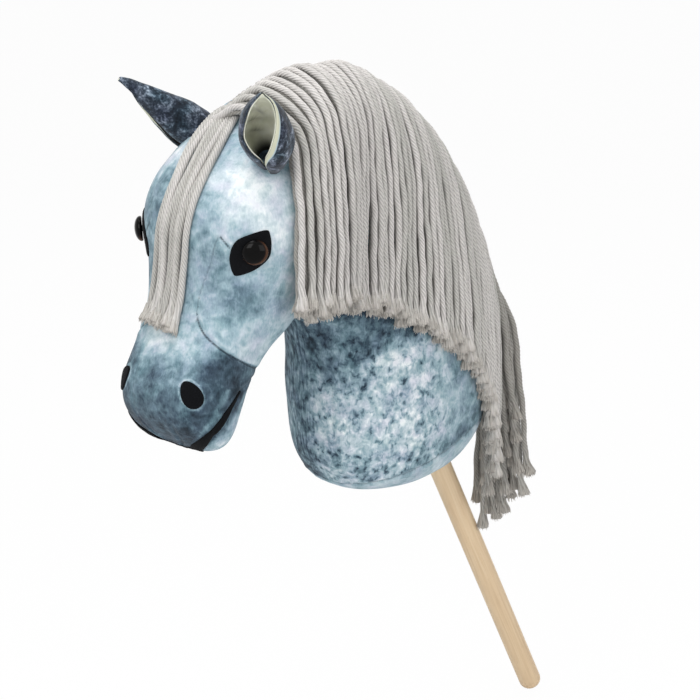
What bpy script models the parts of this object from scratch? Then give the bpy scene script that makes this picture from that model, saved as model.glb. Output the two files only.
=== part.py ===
"""A hobby horse: a stuffed plush head and neck with a cord mane, on a wooden stick.

Metres, +Z up. The horse looks along -Y and its left side is +X. The origin is the
centre of the flat at the stick's foot. The stick rises from there along -Y and +Z into
the neck's base. Most places are measured from the point where the stick's axis leaves
the neck, which stick_exit() gives.
"""

import math

import bmesh
import bpy
from mathutils import Matrix, Vector
from mathutils.bvhtree import BVHTree

# Clearances. Pieces that touch on the real toy lie FIT apart here.
FIT = 0.0003
SEAM_GAP = 0.0009
RING_STRETCH = 1.3
STUFFING_GAP = 0.0020
PANEL_FIT = 0.0006

# The stick, a round dowel with a rounded foot.
STICK_DIAMETER = 0.025
STICK_LEAN = math.radians(29.3)
STICK_SHOWING = 0.358
STICK_INSIDE = 0.230
STICK_FOOT_ROUND = 0.0100
STICK_TOP_BEVEL = 0.002
STICK_SIDES = 32

# The blind sleeve in the neck that the stick plugs into.
SLEEVE_CLEARANCE = 0.0004
SLEEVE_WALL = 0.0025
SLEEVE_END_WALL = 0.005
SLEEVE_SETBACK = 0.045
STICK_HOLE_CLEARANCE = 0.0006

# The plush cloth.
PLUSH_THICKNESS = 0.0018

# The neck, from the poll down to the base. Each row is the throat's y and z and the
# crest's y and z, from the stick's exit, and the half width.
NECK_ROWS = (
    (-0.298, 0.361, -0.227, 0.438, 0.040),
    (-0.270, 0.313, -0.177, 0.442, 0.055),
    (-0.244, 0.255, -0.113, 0.414, 0.066),
    (-0.221, 0.206, -0.048, 0.355, 0.071),
    (-0.208, 0.156, 0.003, 0.273, 0.077),
    (-0.206, 0.105, 0.029, 0.193, 0.081),
    (-0.199, 0.060, 0.036, 0.126, 0.081),
    (-0.176, 0.028, 0.028, 0.076, 0.073),
    (-0.144, 0.016, 0.014, 0.042, 0.056),
    (-0.110, 0.012, 0.001, 0.021, 0.034),
    (-0.078, 0.012, -0.018, 0.014, 0.014),
)
NECK_SQUARENESS = 2.3
THROAT_HALF_WIDTH = 0.026
BASE_SEAM_ROW = 7.9

# The head. Its axis runs from the poll to the mouth, HEAD_TILT forward of straight
# down. Each row is the distance down that axis, how far in front of the axis the face
# lies, how far in front of it the jaw lies, and the half width.
POLL = (-0.283, 0.462)
HEAD_TILT = math.radians(19.5)
HEAD_ROWS = (
    (0.000, -0.060, -0.084, 0.012),
    (0.008, -0.040, -0.103, 0.040),
    (0.024, -0.020, -0.117, 0.055),
    (0.048, 0.004, -0.125, 0.067),
    (0.086, 0.034, -0.124, 0.079),
    (0.124, 0.051, -0.116, 0.087),
    (0.158, 0.052, -0.107, 0.086),
    (0.191, 0.037, -0.097, 0.079),
    (0.224, 0.030, -0.080, 0.070),
    (0.253, 0.032, -0.061, 0.063),
    (0.282, 0.039, -0.049, 0.060),
    (0.308, 0.043, -0.046, 0.060),
    (0.330, 0.035, -0.041, 0.056),
    (0.345, 0.018, -0.034, 0.046),
    (0.354, -0.002, -0.027, 0.028),
    (0.357, -0.012, -0.017, 0.006),
)
HEAD_SQUARENESS = 2.5

# The head's seams. The face gusset's half width and the jaw seam's angle go with rows,
# and the muzzle seam's row goes with the share of the way from the gusset to the jaw.
FACE_GUSSET = (
    (0.0, 0.006), (3.0, 0.038), (4.5, 0.047), (5.3, 0.052), (6.05, 0.045), (7.0, 0.030),
    (7.7, 0.024), (12.0, 0.024), (13.5, 0.018), (15.0, 0.002),
)
JAW_SEAM = ((0.0, 2.5), (9.3, 2.5), (9.8, 2.3), (10.4, 1.75), (11.4, 1.55), (12.1, 1.42), (15.0, 1.40))
JAW_TOP = 7.5
JAW_ABOVE = 4
MUZZLE_STEPS = 11
SEAM_ROWS = 0.02
MUZZLE_SEAM = ((0.0, 8.45), (0.08, 8.80), (0.18, 9.05), (0.35, 9.28), (0.6, 9.47), (1.0, 9.60))

# The ears: a share of the length, the cup's radius and half of the arc that it covers.
EAR_LENGTH = 0.100
EAR_AT = 3.85
EAR_ANGLE = 0.74
EAR_AXIS = (0.44, -0.62, 0.64)
EAR_OPENS = (0.80, -0.60, 0.0)
EAR_CURL = 0.010
EAR_ROWS = (
    (-0.20, 0.0150, 160),
    (0.00, 0.0190, 158),
    (0.15, 0.0235, 138),
    (0.33, 0.0255, 112),
    (0.53, 0.0240, 92),
    (0.72, 0.0185, 75),
    (0.88, 0.0110, 55),
    (1.00, 0.0045, 30),
)
EAR_THICKNESS = 0.0022
EAR_LINING_THICKNESS = 0.0012
EAR_STEPS = 11
EAR_COLUMNS = 13
EAR_SEAM_GAP = 0.0009
EAR_SWING = math.radians(9)
EAR_ROOM_LIMIT = 0.0047

# The eyes: a felt leaf on the cheek, and a plastic dome whose shank is locked inside.
EYE_AT = 6.25
EYE_ANGLE = 0.94
EYE_FELT_OUTLINE = (
    (0.0105, 0.0190), (-0.005, 0.0155), (-0.0175, 0.0087), (-0.0222, -0.0057), (-0.0196, -0.0206),
    (-0.0146, -0.0233), (0.0013, -0.0166), (0.0123, -0.0073), (0.0150, 0.0035), (0.0140, 0.0145),
)
FELT_THICKNESS = 0.0012
FELT_LIFT = 0.0009
FELT_RINGS = (0.08, 0.55, 1.0)
EYE_RADIUS = 0.012
EYE_HEIGHT = 0.0075
EYE_RIM = 0.0012
SHANK_RADIUS = 0.003
SHANK_LENGTH = 0.018
WASHER_RADIUS = 0.0085
WASHER_THICKNESS = 0.0015
WASHER_DEPTH = 0.0062
EYE_SIDES = 18

# The felt nostrils and mouth.
NOSTRIL_AT = 10.9
NOSTRIL_ANGLE = 0.73
NOSTRIL_LENGTH = 0.0266
NOSTRIL_WIDTH = 0.022
NOSTRIL_TILT = math.radians(16)
NOSTRIL_SIDES = 8
MOUTH_CORNER = 10.4
MOUTH_END = 14.6
MOUTH_STEPS = 14
MOUTH_LIFT = 0.0009
MOUTH_TAPER = 6
MOUTH_WIDTH = 0.0120
MOUTH_CORNER_WIDTH = 0.003

# The mane: cut cords sewn along the crest, which hang over the left side.
CORD_LENGTH = 0.250
MANE_FRONT_TRIM = 0.030
MANE_TAPE_WIDTH = 0.018
MANE_TAPE_THICKNESS = 0.0012
MANE_TAPE_LIFT = 0.0013
TAPE_FRONT = math.radians(-48)
TAPE_BACK = math.radians(118)
TAPE_STEPS = 30
MANE_FRONT = -0.278
MANE_BACK = 0.026
MANE_LOCKS = 12
MANE_THICKNESS = 0.0115
MANE_LIFT = 0.0018
MANE_FRONT_SWEEP = -0.33
MANE_STRAIGHT_FROM = -0.10
LOCK_POINTS = 13
LOCK_CROWDING = 1.4
LOCK_CROWNS = (0.82, 1.0, 1.0, 0.82)
LOCK_ROOT = 0.45
LOCK_GROWTH = 0.3
TAIL_NEAR = 0.024
TAIL_FAR = 0.066
TAIL_THICKNESS = 0.0115
TAIL_TOP = 0.180
TAIL_SPREAD = 0.110
TAIL_PINCH = 0.3
TAIL_LIFT = 0.0008
TAIL_LENGTHS = (0.245, 0.222, 0.200)
TAIL_RAYS = 20

# The forelock lies on the face and drifts towards the right on its way down.
FORELOCK_TOP = 2.75
FORELOCK_BOTTOM = 8.95
FORELOCK_WIDTHS = (0.034, 0.050)
FORELOCK_DRIFT = -0.014
FORELOCK_THICKNESS = 0.0068
FORELOCK_LIFT = 0.0011
FORELOCK_STEPS = 14
FORELOCK_COLUMNS = (-1.0, -0.5, 0.0, 0.5, 1.0)
FORELOCK_CROWN = 0.2

# How finely the pieces' surfaces are sampled: rings down and sides round the stuffed
# shapes, for the cloth's cutters, the cores inside and the surface that pieces lie on.
RING_SIDES = 28
NECK_RINGS = 18
HEAD_RINGS = 26
CORE_SIDES = 24
NECK_CORE_RINGS = 15
HEAD_CORE_RINGS = 22
FIELD_RINGS = 80
FIELD_SIDES = 72
BASE_RINGS = 5
PANEL_GRIDS = {
    "face_gusset": (27, 5),
    "jaw_gusset": (JAW_ABOVE + MUZZLE_STEPS + 1, 12),
    "cheek_panel": (15, 10),
    "muzzle_panel": (MUZZLE_STEPS + 1, 9),
    "throat_gusset": (15, 5),
    "neck_panel": (13, 12),
}

# Where rays at the surface start: inside the neck for the crest, outside for the rest.
CREST_MIDDLE = (0.0, -0.12, 0.28)
RAY_SIDE = 0.3
RAY_FAR = 1.0
RAY_NEAR = 0.03
RAY_STEP = 0.004

COLOURS = {
    "wood": (0.69, 0.54, 0.36),
    "sleeve": (0.55, 0.52, 0.47),
    "stuffing": (0.85, 0.85, 0.83),
    "plush": (0.42, 0.52, 0.60),
    "plush_dark": (0.10, 0.14, 0.20),
    "plush_pale": (0.66, 0.70, 0.72),
    "ear_lining": (0.60, 0.60, 0.48),
    "felt": (0.012, 0.013, 0.016),
    "eye": (0.02, 0.013, 0.01),
    "washer": (0.75, 0.75, 0.73),
    "cord": (0.56, 0.54, 0.51),
    "tape": (0.50, 0.49, 0.47),
}
ROUGHNESS = {"eye": 0.08, "wood": 0.5, "washer": 0.4}


def stick_direction():
    """Up the stick, from its foot."""
    return Vector((0.0, -math.sin(STICK_LEAN), math.cos(STICK_LEAN)))


def stick_exit():
    """The point on the stick's axis where it leaves the neck's base."""
    return stick_direction() * STICK_SHOWING


def smooth_row(rows, at):
    """The row at a fractional index, on a Catmull-Rom curve through all the rows."""
    here = min(int(at), len(rows) - 2)
    part = at - here
    before, first, second, after = (
        rows[min(max(here + step, 0), len(rows) - 1)] for step in (-1, 0, 1, 2)
    )
    return [
        0.5
        * (
            2 * b
            + (c - a) * part
            + (2 * a - 5 * b + 4 * c - d) * part ** 2
            + (3 * b - a - 3 * c + d) * part ** 3
        )
        for a, b, c, d in zip(before, first, second, after)
    ]


def along(pairs, at):
    """The value at a place between pairs of place and value, in straight runs."""
    for (start, low), (end, high) in zip(pairs, pairs[1:]):
        if at <= end:
            share = max(at - start, 0.0) / (end - start)
            return low + (high - low) * share
    return pairs[-1][1]


def rounded(value, squareness):
    """A sine or cosine, pushed outwards so that a ring is squarer than an ellipse."""
    return math.copysign(abs(value) ** (2.0 / squareness), value)


def ring_point(front, back, half_width, squareness, angle):
    """A point of a ring: angle 0 is its front, and a quarter turn is its left side."""
    middle = (front + back) / 2
    point = middle + (front - back) / 2 * rounded(math.cos(angle), squareness)
    point.x += half_width * rounded(math.sin(angle), squareness)
    return point


def neck_skin(at, angle):
    """A point of the neck's outside: at counts its rows, angle turns from the throat."""
    throat_y, throat_z, crest_y, crest_z, width = smooth_row(NECK_ROWS, at)
    throat = stick_exit() + Vector((0.0, throat_y, throat_z))
    crest = stick_exit() + Vector((0.0, crest_y, crest_z))
    return ring_point(throat, crest, width, NECK_SQUARENESS, angle)


def head_skin(at, angle):
    """A point of the head's outside: at counts its rows, angle turns from the face."""
    down, face, jaw, width = smooth_row(HEAD_ROWS, at)
    poll = stick_exit() + Vector((0.0, *POLL))
    axis = Vector((0.0, -math.sin(HEAD_TILT), -math.cos(HEAD_TILT)))
    forward = Vector((0.0, -math.cos(HEAD_TILT), math.sin(HEAD_TILT)))
    middle = poll + axis * down
    return ring_point(middle + forward * face, middle + forward * jaw, width, HEAD_SQUARENESS, angle)


def skin_normal(skin, at, angle):
    """The outward normal of the neck or the head."""
    step = 0.02
    last = len(NECK_ROWS if skin is neck_skin else HEAD_ROWS) - 1
    down = skin(min(at + step, last), angle) - skin(max(at - step, 0.0), angle)
    turn = skin(at, angle + step) - skin(at, angle - step)
    return down.cross(turn).normalized()


def off_skin(skin, at, angle, out):
    """A point that lies out from the neck or the head, or inside it where out is negative."""
    point = skin(at, angle)
    return point + skin_normal(skin, at, angle) * out if out else point


def width_angle(at, half_width):
    """The angle at which the head's ring has that half width on its face side."""
    share = min(abs(half_width) / smooth_row(HEAD_ROWS, at)[3], 0.9)
    return math.copysign(math.asin(share ** (HEAD_SQUARENESS / 2)), half_width)


def add_object(name, points, faces, colour, mirrored=False):
    """A mesh object from points and faces. The mirrored one is the right side's twin."""
    if mirrored:
        points = [Vector((-p.x, p.y, p.z)) for p in points]
        faces = [tuple(reversed(face)) for face in faces]
    mesh = bpy.data.meshes.new(name)
    mesh.from_pydata(points, [], faces)
    mesh.update()
    obj = bpy.data.objects.new(name, mesh)
    bpy.context.scene.collection.objects.link(obj)
    obj.data.materials.append(material(colour))
    return obj


def material(colour):
    """The material of that name, made once."""
    if colour in bpy.data.materials:
        return bpy.data.materials[colour]
    made = bpy.data.materials.new(colour)
    made.use_nodes = True
    shader = made.node_tree.nodes["Principled BSDF"]
    shader.inputs["Base Color"].default_value = (*COLOURS[colour], 1.0)
    shader.inputs["Roughness"].default_value = ROUGHNESS.get(colour, 0.9)
    return made


def rings_object(name, rings, colour, mirrored=False):
    """A closed solid through rings of points, capped at both ends."""
    sides = len(rings[0])
    points = [point for ring in rings for point in ring]
    faces = []
    for i in range(len(rings) - 1):
        for k in range(sides):
            j = (k + 1) % sides
            low, high = i * sides, (i + 1) * sides
            faces.append((low + k, low + j, high + j, high + k))
    faces.append(tuple(range(sides))[::-1])
    faces.append(tuple(range((len(rings) - 1) * sides, len(rings) * sides)))
    obj = add_object(name, points, faces, colour, mirrored)
    face_outwards(obj)
    return obj


def slab_object(name, outer, inner, colour, mirrored=False):
    """A closed solid between two grids of points, each a list of rows.

    Both grids are cut into triangles the same way, so that their faces stay parallel.
    """
    rows, columns = len(outer), len(outer[0])
    points = [point for row in outer for point in row] + [point for row in inner for point in row]
    under = rows * columns
    faces = []
    for i in range(rows - 1):
        for k in range(columns - 1):
            a, b = i * columns + k, i * columns + k + 1
            c, d = b + columns, a + columns
            faces += [(a, b, c), (a, c, d)]
            faces += [(c + under, b + under, a + under), (d + under, c + under, a + under)]
    edge = [k for k in range(columns)]
    edge += [i * columns + columns - 1 for i in range(1, rows)]
    edge += [(rows - 1) * columns + k for k in range(columns - 2, -1, -1)]
    edge += [i * columns for i in range(rows - 2, 0, -1)]
    for a, b in zip(edge, edge[1:] + edge[:1]):
        faces.append((b, a, a + under, b + under))
    obj = add_object(name, points, faces, colour, mirrored)
    face_outwards(obj)
    return obj


def face_outwards(obj):
    """Turn every face of a closed solid outwards."""
    shape = bmesh.new()
    shape.from_mesh(obj.data)
    bmesh.ops.recalc_face_normals(shape, faces=shape.faces)
    if shape.calc_volume(signed=True) < 0:
        bmesh.ops.reverse_faces(shape, faces=shape.faces)
    shape.to_mesh(obj.data)
    shape.free()


def turned(name, profile, sides, place, colour, mirrored=False):
    """A solid turned round local Z from pairs of radius and height, placed by a matrix."""
    shape = bmesh.new()
    corners = [shape.verts.new((radius, 0.0, height)) for radius, height in profile]
    edges = [shape.edges.new(pair) for pair in zip(corners, corners[1:])]
    if profile[0][0] > 0 and profile[-1][0] > 0:
        edges.append(shape.edges.new((corners[-1], corners[0])))
    bmesh.ops.spin(
        shape, geom=corners + edges, cent=(0, 0, 0), axis=(0, 0, 1), steps=sides, angle=2 * math.pi
    )
    bmesh.ops.remove_doubles(shape, verts=shape.verts, dist=1e-6)
    shape.transform(place)
    if mirrored:
        shape.transform(Matrix.Diagonal((-1, 1, 1, 1)))
    mesh = bpy.data.meshes.new(name)
    shape.to_mesh(mesh)
    shape.free()
    obj = bpy.data.objects.new(name, mesh)
    bpy.context.scene.collection.objects.link(obj)
    obj.data.materials.append(material(colour))
    face_outwards(obj)
    return obj


def cut(obj, cutters):
    """Cut solids out of an object, and keep its largest piece."""
    for cutter in cutters:
        step = obj.modifiers.new("cut", "BOOLEAN")
        step.operation = "DIFFERENCE"
        step.solver = "EXACT"
        step.object = cutter
    bpy.context.view_layer.update()
    graph = bpy.context.evaluated_depsgraph_get()
    result = bpy.data.meshes.new_from_object(obj.evaluated_get(graph))
    obj.modifiers.clear()
    obj.data = result
    keep_largest(obj)


def keep_largest(obj):
    """Drop the slivers that a cut leaves beside the piece itself."""
    shape = bmesh.new()
    shape.from_mesh(obj.data)
    left = set(shape.verts)
    pieces = []
    while left:
        todo = [left.pop()]
        piece = []
        while todo:
            vert = todo.pop()
            piece.append(vert)
            for edge in vert.link_edges:
                other = edge.other_vert(vert)
                if other in left:
                    left.discard(other)
                    todo.append(other)
        pieces.append(piece)
    pieces.sort(key=len)
    for piece in pieces[:-1]:
        bmesh.ops.delete(shape, geom=piece, context="VERTS")
    shape.to_mesh(obj.data)
    shape.free()


def full_loft(name, skin, rows, rings, sides, out, colour="stuffing"):
    """The whole neck or head as a closed solid, out from its skin. out may go by place."""
    last = len(rows) - 1
    places = [last * i / (rings - 1) for i in range(rings)]
    turns = [2 * math.pi * k / sides for k in range(sides)]
    loops = []
    for at in places:
        loop = []
        for turn in turns:
            far = out(skin(at, turn), skin_normal(skin, at, turn)) if callable(out) else out
            loop.append(off_skin(skin, at, turn, far))
        loops.append(loop)
    return rings_object(name, loops, colour)


def panel(name, skin, rows, columns, place, colour, mirrored=False):
    """A plush panel. place turns shares down and across it into a row and an angle."""
    grids = []
    for out in (0.0, -PLUSH_THICKNESS):
        grid = []
        for i in range(rows):
            spots = [place(i / (rows - 1), k / (columns - 1)) for k in range(columns)]
            grid.append([off_skin(skin, at, angle, out) for at, angle in spots])
        grids.append(grid)
    return slab_object(name, grids[0], grids[1], colour, mirrored)


def seam_angle(at):
    """Half of a seam's gap, as an angle round the head."""
    return SEAM_GAP / 2 / smooth_row(HEAD_ROWS, at)[3] * RING_STRETCH


def gusset_place(down, across):
    at = SEAM_ROWS + (len(HEAD_ROWS) - 1 - 2 * SEAM_ROWS) * down
    edge = width_angle(at, along(FACE_GUSSET, at)) - seam_angle(at)
    return at, edge * (2 * across - 1)


def side_place(down, across, top, bottom):
    """A place between the face gusset and the jaw seam, and between two rows."""
    at = top + (bottom - top) * down
    low = width_angle(at, along(FACE_GUSSET, at)) + seam_angle(at)
    high = along(JAW_SEAM, at) - seam_angle(at)
    return at, low + (high - low) * across


def cheek_place(down, across):
    return side_place(down, across, SEAM_ROWS, along(MUZZLE_SEAM, across) - SEAM_ROWS)


def muzzle_place(down, across):
    last = len(HEAD_ROWS) - 1 - SEAM_ROWS
    return side_place(down, across, along(MUZZLE_SEAM, across) + SEAM_ROWS, last)


def jaw_place(down, across):
    """Its rows meet the muzzle panels' rows at their seam."""
    corner = MUZZLE_SEAM[-1][1] + SEAM_ROWS
    last = len(HEAD_ROWS) - 1 - SEAM_ROWS
    at = along(((0.0, JAW_TOP), (JAW_ABOVE / (JAW_ABOVE + MUZZLE_STEPS), corner), (1.0, last)), down)
    edge = along(JAW_SEAM, at) + seam_angle(at)
    return at, edge + (2 * math.pi - 2 * edge) * across


def throat_edge(at):
    """The angle of the seam beside the throat gusset."""
    share = min(THROAT_HALF_WIDTH / smooth_row(NECK_ROWS, at)[4], 0.9)
    return math.asin(share ** (NECK_SQUARENESS / 2))


def neck_seam_angle(at):
    return SEAM_GAP / 2 / smooth_row(NECK_ROWS, at)[4] * RING_STRETCH


def throat_place(down, across):
    at = (BASE_SEAM_ROW - SEAM_ROWS) * down
    return at, (throat_edge(at) - neck_seam_angle(at)) * (2 * across - 1)


def neck_side_place(down, across):
    at = (BASE_SEAM_ROW - SEAM_ROWS) * down
    low = throat_edge(at) + neck_seam_angle(at)
    high = math.pi - neck_seam_angle(at)
    return at, low + (high - low) * across


def base_rings():
    """The base panel's rings: down its outside to the middle and back up its inside."""
    last = len(NECK_ROWS) - 1
    places = [BASE_SEAM_ROW + (last - BASE_SEAM_ROW) * i / (BASE_RINGS - 1) for i in range(BASE_RINGS)]
    turns = [2 * math.pi * k / RING_SIDES for k in range(RING_SIDES)]
    outside = [[off_skin(neck_skin, at, turn, 0.0) for turn in turns] for at in places]
    inside = [[off_skin(neck_skin, at, turn, -PLUSH_THICKNESS) for turn in turns] for at in places]
    return outside, inside


def base_panel():
    """The panel that closes the neck, a shallow bowl."""
    outside, inside = base_rings()
    sides = RING_SIDES
    rings = outside + inside[::-1]
    points = [point for ring in rings for point in ring]
    faces = []
    count = len(rings)
    middle = len(outside) - 1
    for i in range(count):
        if i == middle:
            continue
        low, high = i * sides, (i + 1) % count * sides
        for k in range(sides):
            j = (k + 1) % sides
            faces.append((low + k, low + j, high + j, high + k))
    faces.append(tuple(range(middle * sides, (middle + 1) * sides)))
    faces.append(tuple(range((middle + 1) * sides, (middle + 2) * sides))[::-1])
    obj = add_object("base_panel", points, faces, "plush_pale")
    face_outwards(obj)
    return obj


def stick_frame():
    """Local Z up the stick, from its foot."""
    return Matrix.Rotation(STICK_LEAN, 4, "X")


def stick():
    radius = STICK_DIAMETER / 2
    top = STICK_SHOWING + STICK_INSIDE
    profile = [(0.0, 0.0), (radius - STICK_FOOT_ROUND, 0.0)]
    for k in range(1, 7):
        turn = math.pi / 2 * k / 6
        profile.append(
            (radius - STICK_FOOT_ROUND * (1 - math.sin(turn)), STICK_FOOT_ROUND * (1 - math.cos(turn)))
        )
    profile += [(radius, top - STICK_TOP_BEVEL), (radius - STICK_TOP_BEVEL, top), (0.0, top)]
    return turned("stick", profile, STICK_SIDES, stick_frame(), "wood")


def stick_sleeve():
    inner = STICK_DIAMETER / 2 + SLEEVE_CLEARANCE
    outer = inner + SLEEVE_WALL
    mouth = STICK_SHOWING + SLEEVE_SETBACK
    end = STICK_SHOWING + STICK_INSIDE + FIT
    profile = [
        (0.0, end), (inner, end), (inner, mouth), (outer, mouth), (outer, end + SLEEVE_END_WALL),
        (0.0, end + SLEEVE_END_WALL),
    ]
    return turned("stick_sleeve", profile, STICK_SIDES, stick_frame(), "sleeve")


def stick_path(name, radius, start, end):
    """A cylinder along the stick's axis, to cut with."""
    profile = [(0.0, start), (radius, start), (radius, end), (0.0, end)]
    return turned(name, profile, STICK_SIDES, stick_frame(), "wood")


class Field:
    """Finds the surface of the head and the neck together by casting rays at it."""

    def __init__(self, shapes):
        points, faces = [], []
        for shape in shapes:
            start = len(points)
            points += [vert.co.copy() for vert in shape.data.vertices]
            faces += [[start + k for k in face.vertices] for face in shape.data.polygons]
        self.tree = BVHTree.FromPolygons(points, faces)

    def hit(self, start, direction):
        place, normal, _, _ = self.tree.ray_cast(start, direction)
        return place, normal

    def crest(self, turn):
        """A point of the crest, seen from inside the neck: turn 0 is up, a quarter is back."""
        middle = stick_exit() + Vector(CREST_MIDDLE)
        way = Vector((0.0, math.sin(turn), math.cos(turn)))
        return self.hit(middle + way, -way)

    def drape(self, root_y, sweep, length, points):
        """Points down the left side for a cord that hangs from the tape's edge at root_y."""
        start = stick_exit()
        reach = MANE_TAPE_WIDTH / 2 + FIT
        above = start + Vector((reach, root_y + sweep * reach, RAY_FAR))
        top, _ = self.hit(above, Vector((0, 0, -1)))
        path = [top.copy()]
        height = top.z
        while height > top.z - length - 5 * RAY_STEP:
            height -= RAY_STEP
            way = Vector((-1.0, -sweep, 0.0)).normalized()
            outside = Vector((RAY_SIDE, start.y + root_y + sweep * RAY_SIDE, height))
            place, _ = self.hit(outside, way)
            if place is not None:
                reach = max(reach, place.x)
            path.append(Vector((reach, start.y + root_y + sweep * reach, height)))
        return spaced(path, length, points)


def spaced(path, length, count):
    """Points along the first length of a path, closest at its start, with their tangents."""
    marks = [0.0]
    for a, b in zip(path, path[1:]):
        marks.append(marks[-1] + (b - a).length)
    found = []
    for k in range(count):
        goal = length * (k / (count - 1)) ** LOCK_CROWDING
        i = max(n for n, mark in enumerate(marks[:-1]) if mark <= goal)
        step = marks[i + 1] - marks[i]
        found.append(path[i].lerp(path[i + 1], (goal - marks[i]) / step))
    tangents = []
    for k in range(count):
        tangents.append((found[min(k + 1, count - 1)] - found[max(k - 1, 0)]).normalized())
    return list(zip(found, tangents))


def ribbon(name, field, path, widths, shares, low, high, colour):
    """A band that follows a surface along points with normals, between two distances from it.

    shares are its columns' places across half of its width, from -1 to 1.
    """
    outer, inner = [], []
    for k, (point, normal) in enumerate(path):
        ahead = path[min(k + 1, len(path) - 1)][0] - path[max(k - 1, 0)][0]
        side = normal.cross(ahead).normalized() * widths[k] / 2
        spots = [field.hit(point + side * share + normal * RAY_NEAR, -normal) for share in shares]
        outer.append([place + facing * high for place, facing in spots])
        inner.append([place + facing * low for place, facing in spots])
    return slab_object(name, outer, inner, colour)


def mane_tape(field):
    turns = [TAPE_FRONT + (TAPE_BACK - TAPE_FRONT) * k / (TAPE_STEPS - 1) for k in range(TAPE_STEPS)]
    path = [field.crest(turn) for turn in turns]
    widths = [MANE_TAPE_WIDTH] * len(path)
    top = MANE_TAPE_LIFT + MANE_TAPE_THICKNESS
    return ribbon("mane_tape", field, path, widths, (-1.0, 0.0, 1.0), MANE_TAPE_LIFT, top, "tape")


def frontness(root_y):
    """0 for the cords that hang straight, and up to 1 for the foremost one."""
    return max((MANE_STRAIGHT_FROM - root_y) / (MANE_STRAIGHT_FROM - MANE_FRONT), 0.0)


def mane_locks(field):
    """The mane's near side, in locks that lie side by side."""
    pitch = (MANE_BACK - MANE_FRONT) / MANE_LOCKS
    locks = []
    for n in range(MANE_LOCKS):
        low = MANE_FRONT + pitch * n + FIT / 2
        high = low + pitch - FIT
        outer, inner = [], []
        for column, crown in enumerate(LOCK_CROWNS):
            root = low + (high - low) * column / (len(LOCK_CROWNS) - 1)
            front = frontness(root)
            outer_line, inner_line = [], []
            length = CORD_LENGTH - MANE_FRONT_TRIM * front
            steps = field.drape(root, MANE_FRONT_SWEEP * front, length, LOCK_POINTS)
            for k, (point, tangent) in enumerate(steps):
                across = Vector((0.0, 1.0, 0.0))
                normal = tangent.cross(across).normalized()
                body = MANE_THICKNESS * crown * min(LOCK_ROOT + LOCK_GROWTH * k, 1.0)
                outer_line.append(point + normal * (MANE_LIFT + body))
                inner_line.append(point + normal * MANE_LIFT)
            outer.append(outer_line)
            inner.append(inner_line)
        locks.append(slab_object(f"mane_lock_{n + 1:02d}", outer, inner, "cord"))
    return locks


def mane_tails(field):
    """The mane's rear end, which hangs behind the neck in layers."""
    start = stick_exit()
    backs = []
    for k in range(TAIL_RAYS):
        spot = start + Vector((TAIL_NEAR, RAY_FAR, TAIL_TOP * k / (TAIL_RAYS - 1)))
        place, _ = field.hit(spot, Vector((0, -1, 0)))
        if place is not None:
            backs.append(place.y - start.y)
    back = max(backs) + TAIL_LIFT
    tails = []
    for n, length in enumerate(TAIL_LENGTHS):
        outer, inner = [], []
        for drop in (0.0, TAIL_SPREAD / 2, TAIL_SPREAD, (TAIL_SPREAD + length) / 2, length):
            share = TAIL_PINCH + (1 - TAIL_PINCH) * min(drop / TAIL_SPREAD, 1.0)
            layer = TAIL_THICKNESS * share
            near = back + (layer + FIT) * n
            height = TAIL_TOP - drop
            outer.append([start + Vector((x, near + layer, height)) for x in (TAIL_NEAR, TAIL_FAR)])
            inner.append([start + Vector((x, near, height)) for x in (TAIL_NEAR, TAIL_FAR)])
        tails.append(slab_object(f"mane_tail_{n + 1}", outer, inner, "cord"))
    return tails


def forelock():
    outer, inner = [], []
    for k in range(FORELOCK_STEPS):
        share = k / (FORELOCK_STEPS - 1)
        at = FORELOCK_TOP + (FORELOCK_BOTTOM - FORELOCK_TOP) * share
        half = (FORELOCK_WIDTHS[0] + (FORELOCK_WIDTHS[1] - FORELOCK_WIDTHS[0]) * share) / 2
        outer_row, inner_row = [], []
        for side in FORELOCK_COLUMNS:
            angle = width_angle(at, FORELOCK_DRIFT * share + half * side)
            high = FORELOCK_LIFT + FORELOCK_THICKNESS * (1 - FORELOCK_CROWN * side * side)
            outer_row.append(off_skin(head_skin, at, angle, high))
            inner_row.append(off_skin(head_skin, at, angle, FORELOCK_LIFT))
        outer.append(outer_row)
        inner.append(inner_row)
    return slab_object("forelock", outer, inner, "cord")


def halved(outline):
    """An outline with a point added halfway along each of its sides."""
    found = []
    for a, b in zip(outline, outline[1:] + outline[:1]):
        found += [a, tuple((p + q) / 2 for p, q in zip(a, b))]
    return found


def felt(name, field, at, angle, outline, mirrored):
    """A felt shape stuck on the head. Its outline is in metres back and up from a spot."""
    centre = head_skin(at, angle)
    normal = skin_normal(head_skin, at, angle)
    back = Vector((0, 0, 1)).cross(normal).normalized()
    up = normal.cross(back)
    sides = 2 * len(outline)
    rings = []
    for share in FELT_RINGS:
        ring = []
        for b, u in halved(outline):
            start = centre + back * b * share + up * u * share + normal * RAY_NEAR
            ring.append(field.hit(start, -normal))
        rings.append(ring)
    points, faces = [], []
    for out in (FELT_LIFT + FELT_THICKNESS, FELT_LIFT):
        points += [place + facing * out for ring in rings for place, facing in ring]
    last = len(FELT_RINGS) - 1
    under = len(FELT_RINGS) * sides
    for i in range(last):
        for k in range(sides):
            j = (k + 1) % sides
            a, b, c, d = i * sides + k, i * sides + j, (i + 1) * sides + j, (i + 1) * sides + k
            faces.append((a, b, c, d))
            faces.append((d + under, c + under, b + under, a + under))
    for k in range(sides):
        j = (k + 1) % sides
        low, high = last * sides + k, last * sides + j
        faces.append((low, high, high + under, low + under))
    faces.append(tuple(range(sides)))
    faces.append(tuple(range(under, under + sides))[::-1])
    obj = add_object(name, points, faces, "felt", mirrored)
    face_outwards(obj)
    return obj


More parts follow.
